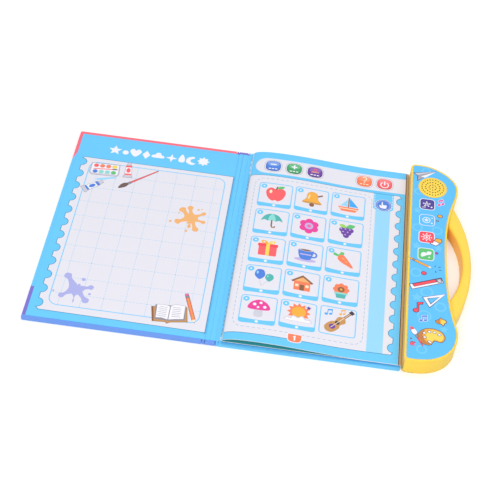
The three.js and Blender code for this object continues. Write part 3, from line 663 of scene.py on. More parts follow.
# %% [markdown]
# ## Inks
# The same blue, orange and white come back all over the book, as a printer
# mixes only a few inks. A material for each would make a long list. Here each
# colour has a name, and it is stored on the corners of the print's mesh,
# where one material reads it.
# %% Inks
INKS = {
    "sky": "68C8FB", "pale": "97D6FD", "label": "5ABEFD", "ghost": "70C8FD", "azure": "3FA9F5",
    "blue": "4C7FDB", "teal": "4FB3B0", "mint": "8ADBD4", "deep": "35A0A8",
    "green": "3FA267", "leaf": "5CC172", "lime": "9CD35E",
    "purple": "6C3FA0", "violet": "4B3A93", "lavender": "BDB3E6", "lilac": "ABAFE6",
    "red": "F86167", "coral": "F8485A", "pink": "F06AA8", "magenta": "E8409A",
    "orange": "FA8058", "blot": "EFB272", "gold": "F2AE3D", "yellow": "F7D65A", "cream": "FBE6C4",
    "wood": "C79257", "tan": "C47A3C", "brown": "8A5A3C", "umber": "6B5450", "dark": "3C2F42",
    "white": "F2F1F9", "paper": "E3E2EC", "silver": "CDCDDA", "grey": "A9A6B4", "slate": "8F8C99",
    "shade": "3F8AB4", "dash": "93B9D6", "grid": "9CCDEE",
    # gutter is the painted shade of the gap at the console, wall_foot the painted light that the
    # wall throws on the leaf beside it.
    "gutter": "4E4A44", "wall_foot": "C2A06A",
}
print("inks:", len(INKS))

# %% [markdown]
# ## The cover
# Three boards of card are wrapped in laminated paper. They keep their CAD
# shape and get soft edges, because paper can't turn a sharp corner. The blue
# lining glued inside is one sheet that runs from the cover over the spine
# into the gutter, with a pressed crease at each fold. Flat sheets would part
# when the cover moves. So it is made in two pieces that meet on the spine,
# and each crosses one fold.
# %% Cover boards and lining
FRONT_FOLD, BACK_FOLD, FOLD_HEIGHT = -17.0, -5.0, 1.5
LINING_LEFT, LINING_SEAM, LINING_RIGHT, LINING_HALF = -176.9, -11.0, -1.0, 122.4
LINING_TOP, LINING_SHEET, LINING_BEND = 3.32, 0.45, 3.0
HINGE_HALF, HINGE_PINCH, HINGE_END = 0.9, 0.12, 125.95
HINGE_TOP, HINGE_FOOT, PINCH_WIDTH = 2.9, 0.02, 0.35
CREASES = ((-16.6, 1.3, 0.9), (-5.6, 1.2, 0.7))
CREASE_START, LINING_STEP, BOARD_EDGE = -24, 0.3, 0.5


def lining_height(x):
    """Top of the lining: flat, less depth * exp(-((x - place) / half) ** 2) of each crease."""
    bells = (depth * np.exp(-(((x - place) / half) ** 2)) for place, half, depth in CREASES)
    return LINING_TOP - sum(bells)


def lining_profile(x0, x1):
    """Closed profile of the lining between two places, finest round the creases."""
    x = np.unique(np.concatenate(([x0, x1], np.arange(CREASE_START, LINING_RIGHT, LINING_STEP))))
    x = x[(x >= x0) & (x <= x1)]
    top = lining_height(x)
    return np.concatenate((np.stack((x, top), 1), np.stack((x, top - LINING_SHEET), 1)[::-1]))


def across_fold(piece):
    """Bakes the piece's place into its mesh."""
    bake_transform(piece)


for board in ("front_board", "spine_board", "back_board"):
    piece = dressed(board, bevel=BOARD_EDGE)
    piece.data.materials[0] = FINISHES["cover_wrap"]
cover_lining = along_page(
    "cover_lining", lining_profile(LINING_LEFT, LINING_SEAM), -LINING_HALF, LINING_HALF,
    None, "lining", ["front_lining"],
)
across_fold(cover_lining)
gutter_lining = along_page(
    "gutter_lining", lining_profile(LINING_SEAM, LINING_RIGHT), -LINING_HALF, LINING_HALF,
    None, "lining",
)
across_fold(gutter_lining)
# The wrap between the boards: thin strips, pinched at the fold.
for fold, a, b in ((FRONT_FOLD, "front_cover", "spine"), (BACK_FOLD, "spine", "base")):
    x = fold + np.linspace(-HINGE_HALF, HINGE_HALF, 9)
    pinch = HINGE_PINCH * np.exp(-(((x - fold) / PINCH_WIDTH) ** 2))
    top, foot = np.stack((x, HINGE_TOP - pinch), 1), np.stack((x, HINGE_FOOT + pinch), 1)
    profile = np.concatenate((top, foot[::-1]))
    hinge = along_page(f"{a}_hinge", profile, -HINGE_END, HINGE_END, None, "cover_wrap")
    across_fold(hinge)
print("cover and lining done")

# %% [markdown]
# ## The pages
# The pages are a few card leaves, sewn in the gutter. The lower ones lie flat
# and show only their edges, painted a dark blue for the shade under the loose
# leaf. The loose leaf rises out of the gutter in an arch and comes down again
# before the console. A cloth simulation could bend it, but its shape would be
# hard to steer, so the arch is two curves that are drawn along the page.
# %% Leaves
PAGE_HEAD, PAGE_LEFT, PAGE_RIGHT = 123.5, -1.3, 155.4
LEAF_SHEET = 0.35
LEAVES, LEAF_FOOT, LEAF_PITCH, LEAF_THICK = 4, 3.42, 0.44, 0.36
# How far the edges lie beyond the loose leaf at the console and short of it at the foot.
TOP_REACH, LOWER_REACH, TOP_SHORT, LOWER_SHORT, UNEVEN = 3.0, 1.5, 0.1, 0.5, 0.3
ARCH = (
    ((-0.8, 5.55), (-0.2, 8.75), (8.4, 10.75), (24.0, 10.75)),
    ((24.0, 10.75), (70.0, 10.75), (84.0, 5.55), (134.0, 5.55)),
)


def bezier(a, b, c, d, n=40):
    """Cubic curve: (1-t)^3 a + 3 (1-t)^2 t b + 3 (1-t) t^2 c + t^3 d."""
    t = np.linspace(0, 1, n)[:, None]
    a, b, c, d = (np.array(p, float) for p in (a, b, c, d))
    return (1 - t) ** 3 * a + 3 * (1 - t) ** 2 * t * b + 3 * (1 - t) * t**2 * c + t**3 * d


leaf_line = np.concatenate((bezier(*ARCH[0]), bezier(*ARCH[1])[1:], [(PAGE_RIGHT, ARCH[1][3][1])]))


def leaf_height(x):
    """Top of the loose leaf at x."""
    return np.interp(x, leaf_line[:, 0], leaf_line[:, 1])


# Where the arch bends most, the print on it is cut into the narrowest strips.
LEAF_CUTS = np.concatenate(
    [np.arange(*run) for run in ((-0.7, 4, 0.4), (4, 12, 1), (12, 26, 2), (28, 136, 4))]
)
profile = np.concatenate((leaf_line, (leaf_line - (0, LEAF_SHEET))[::-1]))
along_page("loose_leaf", profile, -PAGE_HEAD, PAGE_HEAD, "base", "paper", ["page_block"])
for k in range(LEAVES):
    low, uppermost = LEAF_FOOT + LEAF_PITCH * k, k == LEAVES - 1
    right = PAGE_RIGHT + (TOP_REACH if uppermost else LOWER_REACH)
    half = PAGE_HEAD - (TOP_SHORT if uppermost else LOWER_SHORT + UNEVEN * (k % 2))
    corners = [(PAGE_LEFT, low), (right, low)]
    corners += [(right, low + LEAF_THICK), (PAGE_LEFT, low + LEAF_THICK)]
    # The lower leaves' edges take the painted shade.
    edge_shade = None if uppermost else SHADED_PAGE_EDGES
    along_page(f"lower_leaf_{k + 1}", corners, -half, half, "base", "paper", material=edge_shade)
print("leaves done")

# %% [markdown]
# ## The console
# The console is a moulded plastic box with a handle. Its shape is already in
# the CAD model, so it isn't made anew. The model's faces share no corners,
# and that shows as facets, so each part is welded and shaded smooth, with its
# sharp edges kept. The battery door and the screws are treated in that way
# too.
# %% Console parts
for node in ("console_top_shell", "console_bottom_shell", "battery_door"):
    dressed(node)
for node in frame["nodes"]:
    if "screw" in node:
        dressed(node)
print("console parts done")

# %% [markdown]
# ## Small pictures
# The book is full of common things in plain colours with dark edges. Each is
# drawn round its own middle, so that it can be placed anywhere. Line drawing
# by Freestyle would give edges, but only in a finished picture. A grown copy
# of an outline, laid under it, is a part of the mesh.
# %% Picture helpers
def grown(loop, width):
    """The outline moved outwards: p + width * (n1 + n2) / (1 + n1 . n2).

    n1 and n2 are the normals of the sides that meet in p. The divisor is at
    least 0.5, so that a sharp tip doesn't grow a spike.
    """
    after = np.roll(loop, -1, 0) - loop
    area = np.sum(loop[:, 0] * np.roll(loop[:, 1], -1) - loop[:, 1] * np.roll(loop[:, 0], -1))
    normal = np.stack((after[:, 1], -after[:, 0]), 1) * np.sign(area)
    normal /= np.linalg.norm(normal, axis=1)[:, None] + 1e-9
    before = np.roll(normal, 1, 0)
    bend = np.maximum(1 + np.sum(before * normal, 1), 0.5)[:, None]
    return loop + width * (before + normal) / bend


def edged(ink, outline, width=0.4, edge="dark"):
    """A filled outline with a dark edge round it."""
    return drawn(edge, grown(outline, width), ink, outline)


def note(ink, double=False, edge=None):
    """A quaver, or two joined ones: heads, stems and a flag."""
    heads, stems = [disc(-1.6, -3.0, 1.8, 1.5)], [stroke([(-0.3, -3), (0.1, 3.4)], 0.8)]
    flag = shape(-0.35, 3.9, 3.3, 4.5, 3.1, 3.0, -0.35, 2.3)
    if double:
        heads += [disc(3.0, -2.2, 1.7, 1.3)]
        stems += [stroke([(4.3, -2.2), (4.7, 4.2)], 0.8)]
        flag = shape(-0.3, 3.8, 5.1, 4.7, 4.9, 2.7, -0.4, 1.8)
    outlines = heads + stems + [flag]
    under = [(edge, [grown(o, 0.45)]) for o in outlines] if edge else []
    return under + [(ink, [o]) for o in outlines]


def ring_of(ink, x, y, r, width):
    """A round line."""
    return drawn(ink, [disc(x, y, r), disc(x, y, r - width)])


def petals(ink, count, reach, r, turn=90):
    """Discs in a ring round the middle, at angles turn + 360 k / count."""
    angles = np.radians(turn + 360 / count * np.arange(count))
    return [(ink, [disc(reach * math.cos(a), reach * math.sin(a), r)]) for a in angles]


print("a quaver has", len(note("red")), "outlines")

# %% [markdown]
# ## Pictures for the cards
# Each card on the page shows one thing that a child can name, and makes its
# sound when it is touched. Drawing them as curves with a pen tool would do,
# but their points would be hard to keep even. Here each is a list of inks
# and outlines, about 18 mm across, from the lowest layer to the uppermost.
# %% Card pictures
bunch = []
for x, y in ((-3.6, 2.2), (0, 2.6), (3.6, 2.2), (-1.9, -0.9), (1.9, -0.9), (0, -4.2)):
    bunch += drawn("purple", disc(x, y, 2.5), "lavender", disc(x - 0.8, y + 0.9, 0.7))
PICTURES = {
    "apple": edged(
        "red", smooth(
            0, 5.4, 4.6, 7, 8, 3, 6.6, -4, 2.8, -8, 0, -7.2, -2.8, -8, -6.6, -4, -8, 3, -4.6, 7,
        ),
        0.25, "coral",
    )
    + drawn(
        "brown", stroke([(0, 5), (0.9, 9)], 1.3), "leaf", smooth(0.9, 7, 3, 9.6, 7, 9.6, 4.4, 6.6),
        "cream", disc(-4.4, 2.4, 1.2, 2.1),
    ),
    "bell": edged(
        "gold", smooth(0, 8.6, 3.8, 6.6, 5, 0, 8, -4.6, 0, -5.2, -8, -4.6, -5, 0, -3.8, 6.6), 0.25,
        "wood",
    )
    + drawn(
        "brown", disc(0, -6.8, 2.1), "wood", stroke([(-7.6, -4.2), (7.6, -4.2)], 1.4),
        "brown", stroke([(4.6, 4), (8.6, 6.4)], 1.5), "cream", stroke([(-2.2, 5), (-3.4, 0)], 1),
    ),
    "boat": drawn(
        "orange", shape(-9, -2.6, 9, -2.6, 6, -7.6, -6, -7.6),
        "azure", shape(0.8, -1.6, 0.8, 8.4, 8.4, -1.6),
        "pale", shape(-0.9, -1.6, -0.9, 7, -7, -1.6), "brown", stroke([(0, -2.6), (0, 9)], 0.9),
        "cream", stroke([(-7.4, -4.6), (7.4, -4.6)], 0.9),
    ),
    "umbrella": drawn(
        "brown", stroke([(0, 6.5), (0, -6), (0.9, -7.6), (2.6, -7.4), (3, -6)], 1.2),
        "teal", smooth(
            0, 8, 5.6, 6, 9, 0, 6, 0.9, 3, -0.4, 0, 0.9, -3, -0.4, -6, 0.9, -9, 0, -5.6, 6,
        ),
        "mint", smooth(0, 7.8, 2.4, 4.6, 3, -0.2, 0, 0.8, -3, -0.2, -2.4, 4.6),
    ),
    "flower": petals("magenta", 6, 5.2, 3.3)
    + drawn("lavender", disc(0, 0, 3.6), "pink", disc(0, 0, 1.8)),
    "grapes": drawn(
        "leaf", smooth(-0.4, 4.6, 2, 9, 7, 8.4, 4.6, 5),
        "lime", smooth(0.4, 4.6, -2.4, 8.4, -6, 7.6, -4, 4.8),
    )
    + bunch,
    "gift": drawn(
        "red", rounded(-7.4, 7.4, -7.6, 3, 0.8), "coral", rounded(-8.2, 8.2, 2.2, 5.4, 0.8),
        "yellow", rounded(-1.5, 1.5, -7.6, 5.4, 0.2),
        "gold", [smooth(0, 5.4, -2, 8.6, -5.6, 8.6, -4.6, 5.8), disc(-3.4, 7.2, 1.0, 0.7)],
        "yellow", [smooth(0, 5.4, 2, 8.6, 5.6, 8.6, 4.6, 5.8), disc(3.4, 7.2, 1.0, 0.7)],
    ),
    "cup": drawn(
        "lavender", disc(0, -6.4, 9, 1.9), "blue", [disc(6.2, 0.2, 3.4), disc(6.2, 0.2, 2)],
        smooth(-6, 4.6, 0, 5, 6, 4.6, 5.4, -2.4, 3, -6, -3, -6, -5.4, -2.4),
        "silver", disc(0, 4.4, 5.8, 1.3), "brown", disc(0, 4.3, 4.6, 0.8),
        "lavender", stroke([(-4.6, -0.6), (4.6, -0.6)], 1.3),
    ),
    "carrot": drawn(
        "leaf", smooth(-3.6, 3, -8.6, 4.4, -8, 7, -4.4, 5.4, -2.6, 8.6, 0, 7.6, -1.4, 3.6),
        "orange", smooth(-4.4, 4, -1.4, 5.6, 1.6, 3, 8, -7.4, -0.6, -3.6, -5, 0.4),
        "blot", stroke([(-1.6, 2.4), (0.6, 0.6)], 0.8), stroke([(1.2, -0.8), (2.8, -2.2)], 0.8),
    ),
    "balloons": drawn(
        "silver", stroke([(-3, -1), (-1, -8.6)], 0.5), stroke([(4.4, -2), (-1, -8.6)], 0.5),
        "blue", smooth(-3, -1.8, -7, 2.4, -6, 7.6, -3, 8.8, 0, 7.6, 1, 2.4),
        "teal", smooth(4.6, -3.2, 1.6, 0.2, 2.2, 3.8, 4.8, 5, 7.6, 3.6, 8, 0),
        "pale", disc(-5, 5.2, 0.8, 1.6), "mint", disc(3.4, 2.2, 0.5, 1.1),
    ),
    "house": drawn(
        "orange", rounded(-6.6, 6.6, -7.6, 2.4, 0.4),
        "brown", shape(0, 8.6, 9, 1.6, 7.6, 0.4, 0, 6, -7.6, 0.4, -9, 1.6),
        "blot", shape(0, 6.4, 6.2, 1.8, -6.2, 1.8), "brown", rounded(-1.8, 1.8, -7.6, -1.6, 0.6),
        "cream", rounded(2.8, 5.4, -4, -1.4, 0.3), rounded(-5.4, -2.8, -4, -1.4, 0.3),
    ),
    "potted": petals("orange", 8, 4.4, 2.2, 0) + drawn(
        "leaf", stroke([(0, -2), (0, -4)], 1), "brown", disc(0, 0, 2.8), "gold", disc(0, 0, 1.1),
        "teal", shape(-4.6, -4, 4.6, -4, 3.4, -9, -3.4, -9),
        "mint", rounded(-5.2, 5.2, -5, -3.4, 0.4),
    ),
    "mushroom": drawn(
        "silver", smooth(-2.4, 0, 2.4, 0, 3.2, -8, -3.2, -8),
        "magenta", smooth(-8.6, -0.6, -6.4, 5.4, 0, 8.6, 6.4, 5.4, 8.6, -0.6, 0, -1.8),
        "white", disc(-3.6, 3.6, 1.4), disc(1.2, 5.6, 1.2), disc(4.6, 1.6, 1.3), disc(-0.6, 0.9, 1),
    ),
    "sunrise": drawn(
        "orange", star(0, 1.5, 9.4, 6.6, 12), "gold", disc(0, 1.5, 5.6),
        "silver", smooth(
            -9.6, -7.6, -9.4, -4.6, -6, -4.8, -4, -2.2, 0, -3.6, 3, -1.6, 6, -4.4, 9.4, -4.4, 9.6,
            -7.6,
        ),
        "white", smooth(
            -9, -7.4, -8.8, -5.2, -5.8, -5.6, -3.8, -3.2, 0, -4.6, 3, -2.6, 5.6, -5.2, 8.8, -5.2, 9,
            -7.4,
        ),
        "violet", star(7.4, 7.4, 2.2, 1),
    ),
    "guitar": drawn(
        "brown", stroke([(2.4, 2.4), (8, 8.4)], 1.7), "dark", stroke([(7.2, 7.6), (9, 9.4)], 3),
        "wood", smooth(
            -8.4, -4.4, -5, -0.6, -2.2, 0.4, 0, 3.8, 3.8, 3.4, 4.4, -0.6, 1.4, -2.6, 0.4, -5.6,
            -3.6, -9, -7.6, -8,
        ),
        "purple", disc(-3.6, -4.4, 2), "dark", disc(-0.6, -1, 1.5),
        "cream", stroke([(-4.6, -5.4), (7.2, 7.6)], 0.4),
    )
    + moved(note("azure", True), -7, 6.6, 0.6) + moved(note("gold", True), 1.6, 7.8, 0.5, 8),
}
print("pictures:", len(PICTURES))

# %% [markdown]
# ## The cover's drawing field
# Inside the cover lies a white film that a marker can be wiped off. It has an
# edge like a stamp's, a dashed grid and a few drawing things, and a row of
# plain white ornaments stands over it. A boolean could bite the edge out. An
# outline that follows the bites does it without a second shape. The film
# reaches over the fold, so it is cut into strips there.
# %% Drawing field
FIELD_LEFT, FIELD_RIGHT, FIELD_HEAD, FIELD_FOOT = -169.5, -17.2, 88.6, -113.6
BITE_RADIUS, BITE_PITCH, BITE_DEPTH, BITES, FIRST_BITE = 5.4, 17.05, 5.0, 12, 81.6
# The grid's outline, the places of its lines, and its dashes.
LINE_BOX = (-160.9, -24.2, -106.2, 83.0)
GRID_PLACES = (-151.7 + 19.66 * np.arange(7), 67.0 - 19.85 * np.arange(9))
DASH, DASH_GAP, LINE_WIDTH = 2.1, 1.0, 0.42
SHADOW = 0.65


def stamp_edge(x, first, count, pitch, depth, side, slant=0.0):
    """A line down the page with round bites, which may step sideways by slant at each.

    Each bite is an arc of a circle whose middle lies radius - depth outside the line.
    """
    half = math.acos((BITE_RADIUS - depth) / BITE_RADIUS)
    a = np.linspace(half, -half, 11)
    middle = x - side * (BITE_RADIUS - depth)
    x, y = middle + side * BITE_RADIUS * np.cos(a), first + BITE_RADIUS * np.sin(a)
    bites = [np.stack((x + slant * k, y - pitch * k), 1) for k in range(count)]
    return np.concatenate(bites)


field = np.concatenate((
    shape(FIELD_RIGHT, FIELD_HEAD - 0.9, FIELD_LEFT + 1.5, FIELD_HEAD),
    stamp_edge(FIELD_LEFT, FIRST_BITE, BITES, BITE_PITCH, BITE_DEPTH, 1),
    shape(FIELD_LEFT + 2, FIELD_FOOT, FIELD_RIGHT, FIELD_FOOT - 1.2),
))
left, right, foot, head = LINE_BOX
grid = []
for x in GRID_PLACES[0]:
    grid += dashes([(x, foot), (x, head)], DASH, DASH_GAP, LINE_WIDTH)
for y in GRID_PLACES[1]:
    grid += dashes([(left, y), (right, y)], DASH, DASH_GAP, LINE_WIDTH)
inner = rounded(*LINE_BOX, 8.5)
outline = [grown(inner, LINE_WIDTH), grown(inner, -LINE_WIDTH)]
cover_figures = [(0, drawn("shade", grown(field, SHADOW), "paper", field))]
cover_figures += [(2, drawn("sky", outline))]
cover_figures += [(2, [("grid", [dash])]) for dash in grid]

paint_box = edged(
    "silver", shape(-14.6, 8, 14.8, 8.4, 15.6, -6.6, 13.6, -9, -12.6, -9.2, -15.4, -5.6), 0.5,
    "slate",
)
paint_box += drawn("white", rounded(-14, 14.4, -6.8, 7.8, 1.6))
for k, ink in enumerate(("red", "orange", "orange", "yellow", "blue", "mint", "mint", "leaf")):
    x, y = -9.6 + 6.5 * (k % 4), 4.6 - 9.0 * (k // 4)
    paint_box += drawn("silver", disc(x, y, 2.9), ink, disc(x, y, 2.5))
paint_box += drawn(
    "red", stroke([(-12, -0.6), (13, 0.9)], 0.9), "dark", stroke([(8, 0.6), (13.4, 0.9)], 1.1),
)


def tube(ink):
    """A white colour tube on its crimped end, with an oval and bands of its colour."""
    return (
        edged("white", shape(-3.5, -8.6, 3.5, -8.6, 2.7, 6.4, -2.7, 6.4), 0.35, "slate")
        + drawn(
            ink, disc(0, -0.8, 2.1, 3.3), shape(-3.3, -7.6, 3.3, -7.6, 3.15, -5.4, -3.15, -5.4),
            shape(-2.85, 3.6, 2.85, 3.6, 2.7, 6.2, -2.7, 6.2),
        )
        + edged("silver", shape(-4.4, -10.8, 4.4, -10.8, 4.1, -8.6, -4.1, -8.6), 0.35, "slate")
        + edged("silver", shape(-1.7, 6.8, 1.7, 6.8, 1.5, 10.4, -1.5, 10.4), 0.35, "slate")
    )


def brush(length, handle, tip):
    """A brush along x: handle to the right, hairs to the left, its middle at 0."""
    end = length / 2
    return (
        edged(handle, stroke([(-end + 10, 0), (0, 0), (end, 0)], 2.1, 0.8), 0.3)
        + edged("slate", stroke([(-end + 6.5, 0), (-end + 11, 0)], 2.4), 0.3)
        + edged(
            tip,
            smooth(
                -end - 3, -0.4, -end + 1, 2.1, -end + 5, 2.5, -end + 7.2, 1.1, -end + 7.2, -1.1,
                -end + 3, -2.2,
            ),
            0.3,
        )
    )


def pencil(length, ink, width, rubber="pink"):
    """A pencil along x with its point to the right and a rubber or plain end."""
    end, half = length / 2, width / 2
    return (
        edged(
            ink, shape(-end + 2.6, -half, end - 4.4, -half, end - 4.4, half, -end + 2.6, half),
            0.35,
        )
        + drawn(
            "cream", shape(end - 4.4, -half, end, 0, end - 4.4, half),
            "dark", shape(end - 1.4, -half * 0.32, end, 0, end - 1.4, half * 0.32),
        )
        + edged(
            "slate", shape(
                -end + 1.4, -half, -end + 3.8, -half, -end + 3.8, half, -end + 1.4, half,
            ),
            0.25,
        )
        + edged(rubber, rounded(-end - 1, -end + 1.4, -half, half, 0.7), 0.25)
        + drawn("gold", stroke([(-end + 3.8, 0), (end - 4.4, 0)], 0.5))
    )


def open_book():
    """An open book with ruled leaves on brown covers, its middle at 0."""
    made = edged(
        "wood", shape(
            -16.6, 5.4, 14.6, 9.4, 17.2, -7.0, 2.2, -9.6, -0.4, -11.4, -2.0, -9.8, -13.4, -10.8,
        ),
        0.5, "brown",
    )
    made += drawn(
        "brown", shape(-16.6, 5.4, -15.2, 5.4, -12.4, -9.6, -13.4, -10.8),
        "slate", shape(-13.8, 8.6, 14.2, 10.4, 15.0, -5.8, 0.6, -8.6, -12.0, -8.4),
    )
    for side in (-1, 1):
        leaf = shape(
            side * 0.4, 8.2, side * 4, 10.2 + side, side * (12.6 + 0.5 * side), 9.8 + side,
            side * (12.4 + 1.2 * side), -5.4 + side, side * 6, -5.8, side * 0.4, -7.2,
        )
        made += edged("white", leaf, 0.3, "slate")
        for row in range(6):
            y = 7.4 - 2.1 * row + side * 0.5
            made += drawn(
                "slate", stroke([(side * 2.4, y - 0.5), (side * (9.6 + row % 2), y)], 0.38),
            )
    return made


orange_arms = [
    (-14, 15.4, 4.4), (35, 16.8, 4.4), (99, 17.2, 6.0), (132, 17.2, 7.4),
    (207, 16.4, 7.0), (252, 8, 2.4), (270, 13.4, 3.6), (295, 18.4, 6.4),
]
orange_drops = [
    (-18.8, -7.0, 1.4), (-2.0, -17.4, 1.4), (5.8, 12.8, 1.2), (9.0, 14.0, 0.8), (-12.2, 5.6, 0.8)
]
lilac_arms = [
    (17, 16.4, 5.6), (70, 7, 3), (125, 21.6, 7.4), (219, 17.6, 6.0), (272, 16.4, 1.4),
    (313, 19.8, 6.8),
]
lilac_drops = [(4.6, 12.4, 1.9), (-19.6, -5.2, 1.0), (13.4, -4.0, 1.3)]
smear = smooth(-9.6, -2.6, -3, -2.8, 2, -1.2, 9, -0.2, 9.4, 1.6, 4, 1.4, -2, 0.4, -9, -0.8)
things = [
    moved(drawn("pale", smear), -141.2, 62.4, 1, 8),
    moved(paint_box, -145.2, 74.6, 0.94, 2),
    moved(tube("red"), -121.8, 78.0, 1, 4),
    moved(tube("blue"), -152.0, 50.0, 1.04, -50),
    moved(brush(43, "red", "umber"), -108.6, 67.6, 1, 41),
    moved(drawn("blot", splat(0, 0, 6.6, orange_arms)), -50.6, 22.6),
    moved(drawn("blot", *(disc(*drop) for drop in orange_drops)), -50.6, 22.6),
    moved(drawn("lilac", splat(0, 0, 6.8, lilac_arms)), -139.5, -85.0),
    moved(drawn("lilac", *(disc(*drop) for drop in lilac_drops)), -139.5, -85.0),
    moved(open_book(), -51.6, -98.8),
    moved(pencil(34.5, "orange", 3.0), -33.4, -90.2, 1, -70),
]
cover_figures += [(4, thing) for thing in things]
# The film's right end lies over the fold and is cut into strips there.
field_cuts = FRONT_FOLD - LINING_BEND * np.array((1, 0.8, 0.6, 0.4, 0.2))
drawing_field = printed(
    "drawing_field", cover_figures, None, "white_film", LINING_TOP,
    cuts=field_cuts, replaced=["drawing_panel"],
)
across_fold(drawing_field)

ornaments = [
    star(0, 0, 7.2, 3.3, 5),
    disc(0, -0.6, 3.2),
    smooth(0, -6.2, -5.8, 0.4, -5.0, 4.6, -2.2, 5.4, 0, 3.2, 2.2, 5.4, 5.0, 4.6, 5.8, 0.4),
    shape(0, 6.4, 4.2, 0, 0, -6.4, -4.2, 0),
    smooth(-6, -3.2, -6.2, 0, -3.2, 1.4, -1.4, 4.4, 2.2, 4.2, 3.6, 1.2, 6.2, 0, 6, -3.2),
    star(0, 0, 6.2, 2.2, 4),
    smooth(0, 6.6, 3.1, 0.6, 3.0, -4.2, 0, -5.6, -3.0, -4.2, -3.1, 0.6),
    smooth(1, 6.4, -4.8, 3.4, -5.4, -3.2, 0.6, -6.4, 4.4, -3.8, -0.2, -2.4, -1, 1.6, 3.0, 4.2),
    star(0, 0, 6.8, 4.5, 8),
]
ROW_LEFT, ROW_RIGHT, ROW_HEIGHT, ROW_STEP, ROW_SCALE = -146.8, -43.6, 103.8, 0.5, 0.95
widths = np.array([np.ptp(outline[:, 0]) for outline in ornaments]) * ROW_SCALE
spare = (ROW_RIGHT - ROW_LEFT - widths.sum()) / (len(ornaments) - 1)
middles = ROW_LEFT + np.cumsum(widths + spare) - spare - widths / 2
row = []
for k, (outline, middle) in enumerate(zip(ornaments, middles)):
    centred = outline - ((outline[:, 0].max() + outline[:, 0].min()) / 2, 0)
    height = ROW_HEIGHT + ROW_STEP * (-1) ** k
    row.append((0, moved(drawn("white", centred), middle, height, ROW_SCALE)))
printed("head_ornaments", row, "front_cover", "white_film", LINING_TOP)
print("ornaments:", len(ornaments))

# %% [markdown]
# ## The page's print
# The page is blue to its edges, with a white strip of key pictures at its
# head and a white field of cards under it. The keys are flat print over a
# touch pad. Shapes stacked from dark to light make them look raised, as a
# printer does it, and no real relief is needed. The whole print is one piece,
# so that it can follow the arch of the leaf.
# %% Page print
PAGE_INK_LEFT, PAGE_INK_RIGHT = -0.7, 155.25
PANEL_HEAD, PANEL_FOOT = 88.9, -113.0
PANEL_RIGHT, PANEL_BITE, PANEL_PITCH, PANEL_DEPTH, PANEL_SLANT = 151.15, 80.6, 16.94, 4.6, -0.15
STRIP_LEFT, STRIP_MIDDLE, STRIP_HALF = 3.3, 103.5, 10.75
LOWER_PRINT = 5.08
ends = np.radians(np.linspace(90, 270, 19))
round_end = np.stack((
    STRIP_LEFT + STRIP_HALF + STRIP_HALF * np.cos(ends),
    STRIP_MIDDLE + STRIP_HALF * np.sin(ends),
), 1)
strip = np.concatenate((
    shape(PAGE_INK_RIGHT, STRIP_MIDDLE + STRIP_HALF), round_end,
    shape(PAGE_INK_RIGHT, STRIP_MIDDLE - STRIP_HALF),
))
panel = np.concatenate((
    shape(
        PAGE_INK_LEFT + 0.4, PANEL_HEAD - 1.5, PAGE_INK_LEFT + 1.4, PANEL_HEAD, 149.6, PANEL_HEAD,
    ),
    stamp_edge(PANEL_RIGHT, PANEL_BITE, BITES, PANEL_PITCH, PANEL_DEPTH, -1, PANEL_SLANT),
    shape(148.2, PANEL_FOOT - 0.3, PAGE_INK_LEFT + 0.4, PANEL_FOOT - 1.6),
))
# A paler band runs down the panel's right side, under a pocket with a seam.
band = shape(
    126.6, PANEL_HEAD, 141.3, PANEL_HEAD, 141.1, PANEL_FOOT - 0.35, 126.4, PANEL_FOOT - 0.5
)
pocket = np.concatenate((
    shape(144, PANEL_HEAD, 124, PANEL_HEAD, 124, 68),
    smooth(126, 66, 134, 64.6, 142, 66)[2:9], shape(144, 68),
))
whole = rounded(PAGE_INK_LEFT, PAGE_INK_RIGHT, -PAGE_HEAD + 0.1, PAGE_HEAD - 0.1, 0.5)
page = [
    (0, drawn("sky", whole)),
    (1, drawn("shade", grown(panel, SHADOW), "paper", panel)),
    (1, drawn("paper", strip)),
    (3, drawn("pale", band)),
    (4, drawn("sky", pocket)),
]
border = closed(rounded(5.7, 122.7, -107.6, 84.7, 9))
page += [(3, [("dash", [dash])]) for dash in dashes(border, 3.0, 1.9, 0.5)]
seam = [
    (125.2, 88.5), (125.2, 70), (128, 66.4), (134, 65.6), (140, 66.4), (142.8, 70), (142.8, 88.5),
]
page += [(5, [("white", [dash])]) for dash in dashes(seam, 2.2, 1.4, 0.5)]
# A round button with a hand on it lies on the pocket.
BUTTON = (134.2, 73.2)
button = drawn("silver", disc(*BUTTON, 8.4), "blue", disc(*BUTTON, 7.7))
page += [(5, button + ring_of("silver", *BUTTON, 6.8, 0.4))]
hand = smooth(
    -2.6, -3.8, -3.9, -0.6, -2.9, 0, -1.9, -1.2, -1.8, 3.6, -0.7, 3.8, -0.4, 0.6, 2.9, 0.2,
    3, -2, 2, -4.2,
)
page += [(9, moved(drawn("white", hand), *BUTTON, 1.05))]
# The page's number stands on a tab at the foot.
tab = shape(
    55.8, -108, 67.8, -108, 67.8, -113.6, 66.6, -115.8, 64.4, -116.6, 59.2, -116.6,
    57, -115.8, 55.8, -113.6,
)
one = shape(
    61.2, -114.8, 62.6, -114.8, 62.6, -109.4, 61.5, -109.4, 60.4, -110.6, 60.4, -111.4,
    61.2, -111.2,
)
page += [(4, moved(drawn("white", grown(tab, 0.7), "orange", tab, "white", one), 0.7, -0.3))]

arc = np.radians(np.linspace(150, -70, 12))
hook = np.concatenate((np.stack((2 * np.cos(arc), 1.6 + 2 * np.sin(arc)), 1), [(0, -1.6)]))
turn = np.radians(np.linspace(125, 415, 24))
open_ring = stroke(np.stack((3.2 * np.cos(turn), -1.2 + 3.2 * np.sin(turn)), 1), 0.9)
minus, upright = rounded(-2.8, 2.8, -0.7, 0.7, 0.4), rounded(-0.7, 0.7, -2.8, 2.8, 0.4)
tune = moved(note("red", True), -1, 0.2, 0.55)
tune += drawn("blot", stroke([(-3.6, -2.6), (3.8, -2.2)], 0.8))
